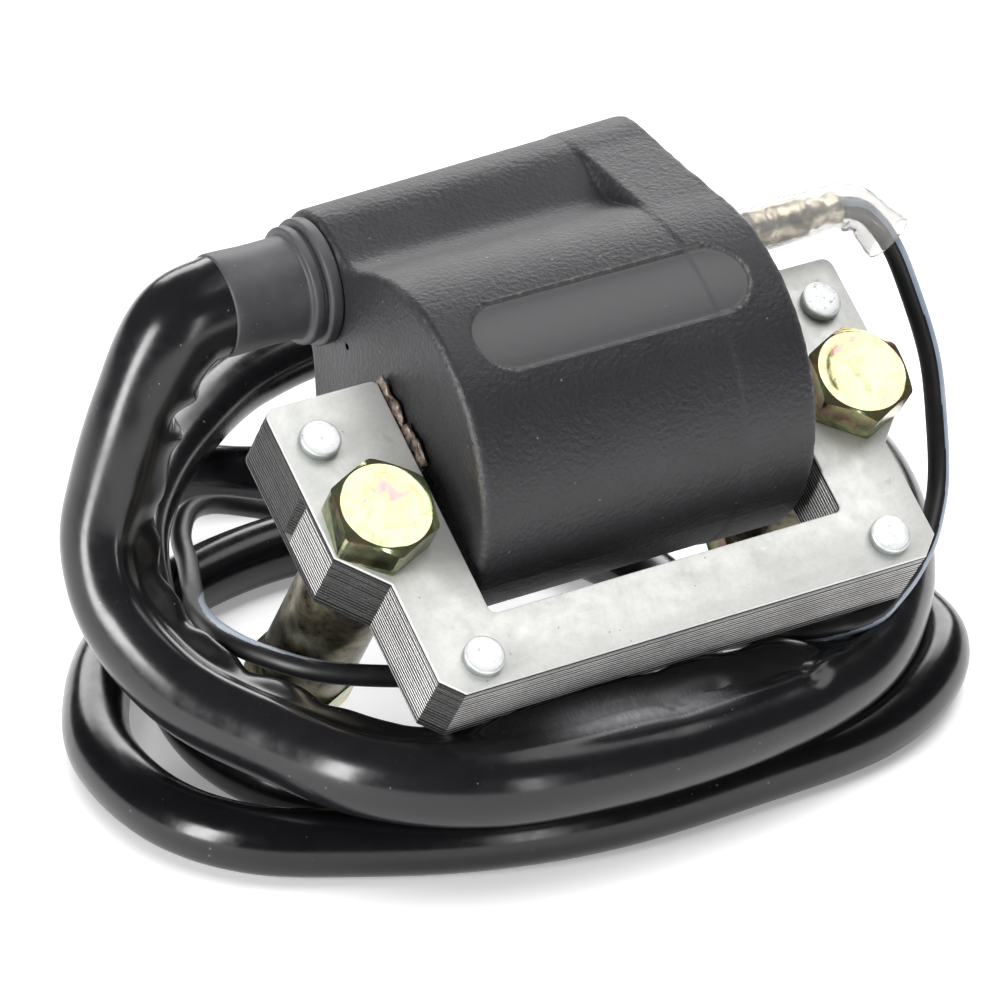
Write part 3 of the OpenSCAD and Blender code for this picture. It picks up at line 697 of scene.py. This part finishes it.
def rounded(profile, r=0.12, steps=3):
    """A profile with its corners rounded."""
    p = [np.array(q, float) for q in profile]
    out = [p[0]]
    for a, b, c in zip(p, p[1:], p[2:]):
        la, lc = np.linalg.norm(a - b), np.linalg.norm(c - b)
        d = min(r, la * 0.45, lc * 0.45)
        s, e = b + (a - b) / la * d, b + (c - b) / lc * d
        for k in range(steps + 1):
            w = k / steps
            out.append((1 - w) ** 2 * s + 2 * w * (1 - w) * b + w * w * e)
    out.append(p[-1])
    return [tuple(q) for q in out]


HEX_AF, HEX_TURN, HEAD_H, NUT_BORE = 10.0, 22.0, 4.2, 2.72
THREAD_R, THREAD_DEPTH, SHANK_R = 3.0, 0.55, 2.7
TUBE_IN, TUBE_OUT = 3.3, 4.9
TUBE_END, NUT_END, TIP_Z = -CORE_T - 19, -CORE_T - 24.02, -40
BOLTS = [(-27.75, 19.8), (27.75, 19.8)]


def hexagonal(z0, z1, chamfer_low, dish, hole, place):
    """A hexagonal head or nut about the core's normal, with turned-off corners, in mm."""
    sides = 144
    a = np.linspace(0, 360, sides, endpoint=False)
    from_flat = (a - HEX_TURN) % 60 - 30
    reach = HEX_AF / 2 / np.cos(np.radians(from_flat))
    reach = np.minimum(reach, HEX_AF / math.sqrt(3) - 0.1)
    face_r = HEX_AF / 2 - 0.25

    def even(r):
        return np.full(sides, r)

    def chamfer(r):
        return np.maximum(r - face_r, 0) * 0.6

    if dish:
        inner = ((0.02, dish), (1.5, dish * 0.9), (3.1, dish), (3.75, dish * 0.35), (4.1, 0.02), (4.4, 0.0))
    else:
        inner = ((hole, 0.5), (hole + 0.45, 0.0))
    rows = [(even(r), even(z1 - drop)) for r, drop in inner]
    rows.append((even(face_r - 0.05), even(z1 - 0.01)))
    for w in (0.08, 0.35, 0.65, 0.92, 1.0):
        r = face_r + (reach - face_r) * w
        rows.append((r, z1 - chamfer(r)))
    top = z1 - chamfer(reach)
    low = z0 + (chamfer(reach) if chamfer_low else 0.05)
    for w in (0.04, 0.5, 0.96):
        rows.append((reach, top + (low - top) * w))
    for w in (1.0, 0.6, 0.0):
        r = face_r + (reach - face_r) * w
        rows.append((r, z0 + (chamfer(r) if chamfer_low else 0.05 * w)))
    rows.append((even(max(hole, 1.0)), even(z0)))
    rad = np.radians(a)
    verts = np.vstack([np.stack([place[0] + r * np.cos(rad), place[1] + r * np.sin(rad), z + 0 * rad], 1)
                       for r, z in rows])
    verts = verts + (noise_at(verts, 0.5, place[0]) * 0.03)[:, None]
    faces = grid_faces(len(rows), sides)
    if dish:
        faces += end_cap(0, sides, True)
    return leaning(verts), turned_over(faces)


def threaded(place, z_top, z_tip, sides=48):
    """The exposed end of a bolt: M6 thread with a 1 mm pitch and a chamfered tip."""
    rows = int((z_top - z_tip) / 0.09)
    a = around(sides)
    verts = []
    for i in range(rows + 1):
        z = z_top + (z_tip - z_top) * i / rows
        saw = np.abs(((z - a / (2 * math.pi)) % 1.0) - 0.5) * 2
        r = THREAD_R - THREAD_DEPTH * np.clip(saw * 1.25 - 0.12, 0, 1)
        tip = max(0.0, 0.8 - (z - z_tip)) * 0.8
        r = np.minimum(r, THREAD_R - tip)
        verts.append(np.stack([place[0] + r * np.cos(a), place[1] + r * np.sin(a), np.full(sides, z)], 1))
    verts = np.vstack(verts)
    faces = grid_faces(rows + 1, sides) + end_cap(rows * sides, sides, False)
    return leaning(verts), turned_over(faces)


def fasteners():
    normal = (0, -SIN_LEAN, COS_LEAN)
    origin = leaning([(0, 0, 0)])[0]
    heads, nuts, tubes = [], [], []
    for x, y in BOLTS:
        place = leaning([(x, y, 0)])[0]
        heads.append(hexagonal(0, HEAD_H, False, 0.16, 0, (x, y)))
        heads.append(turned([(SHANK_R, 0), (SHANK_R, NUT_END + 0.4)], normal, place, 32))
        heads.append(threaded((x, y), NUT_END + 0.5, TIP_Z))
        nuts.append(hexagonal(NUT_END, TUBE_END - 0.02, True, 0, NUT_BORE, (x, y)))
        wall = rounded([(TUBE_IN, TUBE_END + 0.1), (TUBE_IN, -CORE_T - 0.1), (3.4, -CORE_T),
                        (TUBE_OUT, -CORE_T), (TUBE_OUT, TUBE_END), (3.4, TUBE_END),
                        (TUBE_IN, TUBE_END + 0.1)], 0.25)
        v, f = turned(wall, normal, place)
        tubes.append((v, turned_over(f[:-2])))
    for name, parts, mat, slot, node in (("bolt_bodies", heads, YELLOW, "yellow_zinc", "mounting_bolts"),
                                         ("nut_bodies", nuts, YELLOW, "yellow_zinc", "nuts"),
                                         ("spacer_tubes", tubes, TUBE, "tube_zinc", "stand_off_tubes")):
        verts, faces = joined(parts)
        # painted shade mask: everything of the bolts below the top face of the heads
        below_top = ease((HEAD_H - 0.4 - (verts - origin) @ np.array(normal)) / 0.3)
        masks = {"side": below_top} if node == "mounting_bolts" else None
        obj = add_mesh(name, verts, faces, mat, slot, masks=masks, crisp=32)
        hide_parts(node)


RIVETS = [(-23.7, 3.0), (23.7, 3.0), (-29.4, 30.2), (29.4, 30.2)]


def rivets():
    """Peened heads on both sides of the core: flat tops, rolled rims, a little uneven."""
    profile = [(1.9, -0.02), (2.07, 0.1), (2.14, 0.45), (2.14, 0.85), (2.08, 1.05), (1.98, 1.14),
               (1.84, 1.18), (1.2, 1.2), (0.5, 1.22), (0.02, 1.22)]
    sides, parts = 56, []
    for k, (x, y) in enumerate(RIVETS):
        for side, z in ((1, 0), (-1, -CORE_T)):
            normal = (0, -SIN_LEAN * side, COS_LEAN * side)
            parts.append(turned(profile, normal, leaning([(x, y, z)])[0], sides, 0.05, k * 2 + side))
    verts, faces = joined(parts)
    # painted shade mask: full on the sides, a quarter on the rolled rim, none on the top
    rim = np.repeat([1.0 if h < 1.0 else 0.25 if h < 1.13 else 0.0 for r, h in profile], sides)
    obj = add_mesh("rivet_heads", verts, faces, RIVET, "rivet_steel", masks={"side": np.tile(rim, len(parts))})
    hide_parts("rivets")


# ---------------------------------------------------------------- core
def arc(cx, cy, r, start, end, steps):
    a = np.radians(np.linspace(start, end, steps + 1))
    return [(cx + r * math.cos(q), cy + r * math.sin(q)) for q in a]


EAR, LEG, WINDOW, BAR, SIDE, SHOULDER = 33.3, 35.3, 20.5, 7.4, 28.9, 13.4


def u_outline(notched):
    """Outline of the U seen from the front, anticlockwise, in mm."""
    half = [(SIDE - 2.1, 0), (SIDE, 2.1), (SIDE, SHOULDER), (EAR, 17.8)]
    if notched:
        half += [(EAR, 24.1), (EAR - 0.65, 24.8), (EAR, 25.5)]
    half += arc(EAR - 1.2, LEG - 1.2, 1.2, 0, 90, 6)
    half += arc(WINDOW + 0.8, LEG - 0.8, 0.8, 90, 180, 5)
    half += arc(WINDOW - 0.8, BAR + 0.8, 0.8, 0, -90, 5)
    return np.array(half + [(-x, y) for x, y in reversed(half)])


def inset(outline, d):
    """The outline moved inward by d, corner by corner."""
    p = outline
    before, after = p - np.roll(p, 1, 0), np.roll(p, -1, 0) - p
    n0 = unit(np.stack([before[:, 1], -before[:, 0]], 1))
    n1 = unit(np.stack([after[:, 1], -after[:, 0]], 1))
    miter = (n0 + n1) / np.maximum(1 + (n0 * n1).sum(1), 0.35)[:, None]
    return p - d * miter


def slab(outline, levels):
    """A flat piece: levels are (height, inset) from one face to the other."""
    n = len(outline)
    verts = np.vstack([np.column_stack([inset(outline, d), np.full(n, z)]) for z, d in levels])
    return verts, capped(len(levels), n)


def denser(outline, step):
    """The outline with extra points on its long edges."""
    out = []
    for a, b in zip(outline, np.roll(outline, -1, 0)):
        n = max(1, int(np.linalg.norm(b - a) / step))
        out += [a + (b - a) * k / n for k in range(n)]
    return np.array(out)


def edge_kinds(outline, rows, flat_faces):
    """Material number of every side face: 1 bright lines, 2 grey lines, 3 dark with a cross grain; 3 is painted
    shade on the slanted faces and the ear's own dark surface above the notch.
    """
    a, b = outline, np.roll(outline, -1, 0)
    out, up = np.abs((a + b) / 2).T
    slant = np.abs(unit(b - a)).min(1)
    kinds = np.full(len(a), 2)
    kinds[(out > SIDE - 0.1) & (up < SHOULDER)] = 1
    kinds[(out > EAR - 0.3) & (up < 24.5)] = 1
    kinds[(out > EAR - 0.9) & (up > 24.5)] = 3
    # painted shade: the slanted faces take the dark copy
    kinds[(slant > 0.3) & (up < 20)] = 3
    return list(np.tile(kinds, rows - 1)) + [0] * flat_faces


def core():
    plain, notched = u_outline(False), denser(u_outline(True), 2.5)
    sheets = [ZINC, SHEET, SHEET_GREY, SHEET_DARK]
    for name, z0, node in (("end_plate_front", -PLATE_T, "front_end_plate"),
                           ("end_plate_back", -CORE_T, "back_end_plate")):
        z1 = z0 + PLATE_T
        levels = [(z0, 0.1), (z0 + 0.05, 0.03), (z0 + 0.14, 0), (z0 + 0.4, 0), (z0 + 0.46, 0.05),
                  (z0 + 0.52, 0), (z1 - 0.25, 0), (z1 - 0.14, 0.03), (z1 - 0.05, 0.1), (z1, 0.24)]
        if node == "back_end_plate":
            levels = [(z0 + z1 - z, d) for z, d in reversed(levels)]
        verts, faces = slab(plain, levels)
        kinds = edge_kinds(plain, len(levels), 2)
        if node == "front_end_plate":
            # the rounded rim of the front face is plated
            rim = len(plain) * 3
            kinds[-2 - rim:-2] = [0] * rim
        obj = add_mesh(name, leaning(verts), faces, sheets, "zinc_plate", face_mats=kinds, crisp=24)
        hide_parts(node)
    parts, kinds = [], []
    rng = np.random.default_rng(11)
    for i in range(SHEETS):
        z = -PLATE_T - (i + 1) * SHEET_T
        shift = rng.normal(0, 0.012, 2)
        scale = rng.normal(0, 0.02)
        levels = [(z + h, d + scale) for h, d in ((0.03, 0.12), (0.1, 0.02), (0.34, 0), (0.47, 0.09))]
        verts, faces = slab(notched, levels)
        verts[:, :2] += shift
        rough_edge = noise_at(verts, 0.7, i) * 0.015
        verts[:, :2] += unit(verts[:, :2] - np.array([0, 18])) * rough_edge[:, None]
        parts.append((verts, faces))
        kinds += edge_kinds(notched, len(levels), 2)
    verts, faces = joined(parts)
    obj = add_mesh("lamination_stack", leaning(verts), faces, sheets, "sheet_steel", face_mats=kinds, crisp=28)
    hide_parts("core_laminations")


def earth_strip():
    """Crumpled tinned strip at the bar's end."""
    verts = []
    rows, cols = 44, 9
    for i in range(rows):
        w = i / (rows - 1)
        y = 24.6 + 10.6 * w
        lift = 0.75 + 0.75 * noise.noise(Vector((w * 7, 2.2, 0))) + (0.5 if w < 0.45 else 0)
        gap = ease(abs(w - 0.47) / 0.05)
        for k in range(cols):
            q = k / (cols - 1)
            x = -20.45 + 0.85 * q + 0.12 * noise.noise(Vector((w * 9, q * 3, 4)))
            z = -1.0 + (lift * gap + 0.9) * math.sin(math.pi * (0.12 + 0.76 * q)) \
                + 0.3 * noise.noise(Vector((w * 14, q * 4, 8)))
            verts.append((x, y, z))
    faces = grid_faces(rows, cols, closed=False)
    obj = add_mesh("earth_strip_skin", leaning(np.array(verts)), faces, STRIP, "strip_metal")
    thick = obj.modifiers.new("thickness", "SOLIDIFY")
    thick.thickness = 0.25 * MM
    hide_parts("earth_strip")


# ---------------------------------------------------------------- housing
SHELL_Y, SHELL_R, TOWER_Y = 29.6, 18.0, 50.8
LEFT_X, RIGHT_X, WEB_X = -19.5, 19.0, 10.8
CENTRE_Y = 42.0
RECESS_Y, RECESS_REACH, RECESS_R, RECESS_DEPTH = 30.1, 11.7, 4.1, 0.42


def soft_min(a, b, k):
    h = np.clip(0.5 + 0.5 * (b - a) / k, 0, 1)
    return b * (1 - h) + a * h - k * h * (1 - h)


def tower_radius(x):
    return 6.55 + (x - LEFT_X) / (RIGHT_X - LEFT_X) * 1.15


def housing_field(x, y, w):
    """Signed distance to the housing's outer surface; w is the height over its middle plane."""
    r2 = tower_radius(x)
    shell = np.hypot(y - SHELL_Y, w) - SHELL_R
    tower = np.hypot(y - TOWER_Y, w) - r2
    valley = soft_min(shell, tower, 5.4)
    h = TOWER_Y - SHELL_Y
    b = (SHELL_R - r2) / h
    a = np.sqrt(1 - b * b)
    px, py = np.abs(w), y - SHELL_Y
    k = -b * px + a * py
    web = np.where(k < 0, shell, np.where(k > a * h, tower, px * a + py * b - SHELL_R))
    stepped = -soft_min(-web, (x - WEB_X) * 0.96, 0.6)
    return soft_min(valley, stepped, 0.5)


def recess_shape(x, y, w):
    """Signed distance to the outline of the label recess, seen from above."""
    d = np.hypot(np.maximum(np.abs(x) - RECESS_REACH, 0), np.abs(y - RECESS_Y)) - RECESS_R
    return np.where(w > 0, d, 9.0)


def housing_radius(x, angle):
    """Distance from the loft's axis to the surface for every station and angle."""
    low, high = np.zeros(x.shape), np.full(x.shape, 34.0)
    cy, cw = np.cos(angle), np.sin(angle)
    for _ in range(26):
        mid = (low + high) / 2
        inside = housing_field(x, CENTRE_Y + mid * cy, mid * cw) < 0
        low, high = np.where(inside, mid, low), np.where(inside, high, mid)
    return (low + high) / 2


def housing():
    cols = 600
    edge = 0.9
    turn = np.radians(np.linspace(0, 90, 9))
    right_turn = np.radians(np.linspace(0, 90, 5))
    middle = np.arange(LEFT_X + edge + 0.12, RIGHT_X - 0.3, 0.16)
    stations = np.concatenate([LEFT_X + edge * (1 - np.cos(turn)), middle,
                               RIGHT_X - 0.25 + 0.25 * np.sin(right_turn)])
    drawn_in = np.concatenate([edge * (1 - np.sin(turn)), np.zeros(len(middle)),
                               0.25 * (1 - np.cos(right_turn))])
    angle = np.linspace(-math.pi, math.pi, cols, endpoint=False)
    x, a = np.meshgrid(stations, angle, indexing="ij")  # one row for each station
    r = housing_radius(x, a)
    y, w = CENTRE_Y + r * np.cos(a), r * np.sin(a)
    # outward direction of the surface, from the field
    e = 0.02
    gy = housing_field(x, y + e, w) - housing_field(x, y - e, w)
    gw = housing_field(x, y, w + e) - housing_field(x, y, w - e)
    size = np.maximum(np.hypot(gy, gw), 1e-9)
    gy, gw = gy / size, gw / size
    recess = recess_shape(x, y, w)
    floor = ease(-recess / 0.22 + 0.5)
    lip = 0.07 * bell(recess, 0.16)
    # parting line low on the front, and a ragged edge round the open end
    shell_angle = np.arctan2(w, y - SHELL_Y)
    off_seam, upper = np.abs(np.degrees(shell_angle)) - 177.5, shell_angle > 0
    seam = 0.1 * bell(off_seam, 0.45) * upper
    ragged = noise_at(np.stack([x * 0, y, w], -1).reshape(-1, 3), 0.9, 2).reshape(x.shape)
    flash = 0.12 * bell(x - RIGHT_X, 0.35) * ragged
    shift = lip + seam + flash - RECESS_DEPTH * floor - drawn_in[:, None]
    y, w = y + gy * shift, w + gw * shift
    step_edge = bell(x - WEB_X - 0.1, 0.12) * (y > 40) * (y < 51) * (w > 5)
    # wear at the open end, a lighter parting line and step edge, and a painted highlight along the recess rim
    # and the rounded left edge
    worn = np.maximum.reduce([bell(x - RIGHT_X, 0.3), 0.8 * bell(recess, 0.11),
                              0.2 * bell(x - LEFT_X - 0.3, 0.2), 0.3 * bell(off_seam, 0.3) * upper,
                              0.3 * step_edge])

    def ring(at_x, ring_y, ring_w):
        return np.column_stack([np.full(cols, at_x), ring_y, ring_w + MID_Z])

    # left face: rings spread from the middle
    left = [ring(LEFT_X, CENTRE_Y + (y[0] - CENTRE_Y) * k, w[0] * k) for k in (0.02, 0.3, 0.6, 0.9, 0.985)]
    # right rim and the wall inside it, down past the resin
    out_y, out_w = gy[-1], gw[-1]
    rim = [ring(RIGHT_X + dx, y[-1] - out_y * depth, w[-1] - out_w * depth)
           for dx, depth in ((0.0, 1.2), (-0.05, 1.5), (-0.25, 1.6), (-1.2, 1.65))]
    verts = np.vstack([*left, np.stack([x, y, w + MID_Z], -1).reshape(-1, 3), *rim])
    ends = (len(left) * cols, len(rim) * cols)
    masks = {"recess": np.pad(floor.reshape(-1), ends), "worn": np.pad(worn.reshape(-1), ends)}
    faces = turned_over(grid_faces(len(verts) // cols, cols))
    obj = add_mesh("housing_shell", leaning(verts), faces, HOUSING, "housing_plastic", masks=masks, crisp=50)
    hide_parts("housing")
    # resin face: fills the open end, drawn up a little where it meets the wall
    wall_y, wall_w = y[-1] - out_y * 1.64, w[-1] - out_w * 1.64
    middle_y = CENTRE_Y - 6
    rings = [ring(RIGHT_X - 0.75 + 0.35 * ease((k - 0.9) / 0.1), middle_y + (wall_y - middle_y) * k, wall_w * k)
             for k in (*np.linspace(0.02, 0.9, 22), 0.95, 0.98, 1.0)]
    verts = np.vstack(rings)
    verts[:, 0] += noise_at(verts, 0.16, 6) * 0.14
    faces = grid_faces(len(rings), cols) + end_cap(0, cols, True)
    add_mesh("potting_face", leaning(verts), faces, POTTING, "potting_resin")


# ---------------------------------------------------------------- outlet boot and terminal
def outlet_boot():
    axis = (-1, 0, 0)
    place = leaning([(0, 50, MID_Z)])[0]
    profile = rounded([(4.8, 13), (4.8, 19.5), (6.65, 19.55), (6.72, 20.9), (5.75, 21.0), (5.75, 21.45),
                       (6.2, 21.5), (6.2, 22.45), (5.35, 22.6), (5.3, 26.5), (5.42, 29.8), (5.4, 30.95),
                       (4.9, 31.05), (4.7, 30.6)], 0.3, 4)
    verts, faces = turned(profile, axis, place, 96)
    faces = faces[:-1]
    verts = verts + unit(verts - np.array([0, place[1], place[2]])) * (noise_at(verts, 0.22, 9) * 0.1)[:, None]
    obj = add_mesh("outlet_boot_skin", verts, faces, BOOT, "boot_rubber", crisp=50)
    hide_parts("outlet_boot")


# creases of the clear sleeve, mostly at its bend
COVER_MARKS = [
    (11.5, 20, 1.0, 50, -0.35), (13.6, 0, 0.7, 40, -0.55), (14.8, 15, 0.6, 60, 0.25),
    (16.0, -10, 0.7, 50, -0.4), (10.0, 150, 1.6, 40, -0.2), (15, 180, 2.0, 50, 0.12),
    (18.8, 180, 1.6, 50, 0.2), (6.0, 170, 2.4, 40, 0.1),
]
COVER_R, COVER_T = 2.48, 0.3


def terminal():
    """Bullet socket on the terminal pin, in a clear sleeve bent down with the wire."""
    place, along_x = (0, 5, 48), (1, 0, 0)
    pin = rounded([(0.02, 15.2), (1.7, 15.2), (1.7, 22.6), (1.25, 23.2), (1.25, 30.4), (0.02, 30.5)], 0.25)
    obj = add_mesh("terminal_pin_skin", *turned(pin, along_x, place, 40), TIN, "terminal_tin", crisp=40)
    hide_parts("terminal_pin")
    socket = rounded([(1.3, 24.05), (2.0, 24.05), (2.1, 24.4), (2.1, 25.6), (1.98, 25.8), (1.98, 26.3),
                      (2.1, 26.5), (2.1, 30.4), (1.75, 31.0), (1.55, 31.5), (1.7, 32.0), (1.4, 33.2),
                      (1.7, 34.4), (1.6, 35.0), (1.1, 35.05)], 0.12)
    obj = add_mesh("terminal_socket_skin", *turned(socket, along_x, place, 48), TIN, "terminal_tin", crisp=40)
    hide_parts("terminal_socket")
    line = [(22.5, 5, 48), (26, 5, 48), (30, 5, 48.05), (33.5, 5, 48.15), (36.2, 4.85, 47.9),
            (38.0, 4.0, 46.6), (39.9, 2.55, 44.2)]
    path, at = evenly(curve_through(line), 0.25)
    t = tangents(path)
    t[0] = along_x
    u, v = frames_facing(path, t, (36, 0, 30))
    sides = 56
    angle = np.degrees(around(sides))
    outer = with_marks(COVER_R, at[:, None], angle[None], COVER_MARKS)
    outer += 0.28 * ease((at - at[-1] + 2.2) / 2.2)[:, None]
    shell = tube_verts(path, u, v, outer, sides)
    shell = shell + (noise_at(shell, 0.6, 12) * 0.06)[:, None]
    # back along the inside, and shut at the near end
    lining = tube_verts(path[::-1], u[::-1], v[::-1], outer[::-1] - COVER_T, sides)
    last = 2 * len(shell) - sides
    faces = grid_faces(2 * len(path), sides)
    faces += [(last + k, last + (k + 1) % sides, (k + 1) % sides, k) for k in range(sides)]
    obj = add_mesh("terminal_cover_skin", np.vstack([shell, lining]), faces, CLEAR, "clear_vinyl")
    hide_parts("terminal_cover")
    far = WIRE_ROUTE[-1]
    bullet = rounded([(1.1, 0.0), (1.35, 0.1), (1.35, 13.0), (1.6, 13.3), (1.6, 14.0), (1.3, 14.4),
                      (1.3, 14.9), (1.6, 15.3), (1.6, 16.9), (1.1, 17.5), (0.02, 17.5)], 0.15)
    obj = add_mesh("wire_connector_skin", *turned(bullet, along_x, far, 40), BRASS, "contact_brass", crisp=40)
    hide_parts("wire_connector")
    tube = rounded([(1.4, 0.5), (1.85, 0.52), (1.9, 2.5), (1.84, 7), (1.88, 13), (1.4, 13)], 0.08)
    verts, faces = turned(tube, along_x, far, 40, 0.03, 7)
    obj = add_mesh("connector_cover_skin", verts, faces[:-2], CLEAR, "clear_vinyl")
    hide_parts("connector_cover")


lead, lead_path, lead_length = high_tension_lead()
strands = lead_strands(lead_path)
sleeve = lead_sleeve()
wire, wire_path, wire_length = low_tension_wire()
core()
rivets()
fasteners()
earth_strip()
housing()
outlet_boot()
terminal()

# ---------------------------------------------------------------- materials of the CAD nodes that stay
for node, mat in (("core_bar", SHEET), ("primary_bobbin", BOBBIN), ("primary_winding", WOUND),
                  ("winding_insulation", FILM), ("secondary_bobbin", BOBBIN), ("secondary_winding", WOUND),
                  ("high_tension_link", COPPER), ("potting", POTTING), ("high_tension_contact", BRASS)):
    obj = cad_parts[node]
    obj.data.materials.clear()
    obj.data.materials.append(mat)

# ---------------------------------------------------------------- floor and light
floor_data = bpy.data.meshes.new("floor")
floor_data.from_pydata([(-3, -3, 0), (3, -3, 0), (3, 3, 0), (-3, 3, 0)], [], [(0, 1, 2, 3)])
floor_obj = placed("floor", floor_data)
n = Nodes("floor_paper")
paper = n.ramp(n.noise(400, 2), [(0.3, (0.90, 0.90, 0.905)), (0.7, (0.93, 0.93, 0.935))])
floor_data.materials.append(n.finish(paper, n.remap(n.noise(20, 3), 0.7, 0.8),
                                     Emission_Color=paper, Emission_Strength=0.3))

world = bpy.data.worlds.new("studio")
scene.world = world
world.use_nodes = True
background = world.node_tree.nodes["Background"]
background.inputs["Color"].default_value = (1, 1, 1, 1)
background.inputs["Strength"].default_value = 0.05
scene.view_settings.view_transform = "Standard"


def softbox(name, place, target, size, power, mirrored=True):
    data = bpy.data.lights.new(name, "AREA")
    data.shape = "RECTANGLE"
    data.size, data.size_y = size
    data.energy = power
    obj = placed(name, data, place, Vector(target) - Vector(place))
    obj.visible_glossy = mirrored


softbox("softbox_fill", (0.1, 0.1, 1.0), (0, 0, 0), (1.2, 1.2), 13, mirrored=False)
softbox("softbox_top", (0.36, -0.08, 0.8), (0, 0, 0.02), (0.6, 0.46), 2.2)
softbox("softbox_back", (0.5, 0.9, 0.5), (0, 0, 0.03), (1.3, 0.45), 10)
softbox("softbox_left", (-0.8, -0.12, 0.25), (0, 0, 0.03), (0.22, 0.5), 7)
softbox("softbox_front", (-0.05, -0.85, 0.22), (0, 0, 0.02), (0.1, 0.42), 1.0)
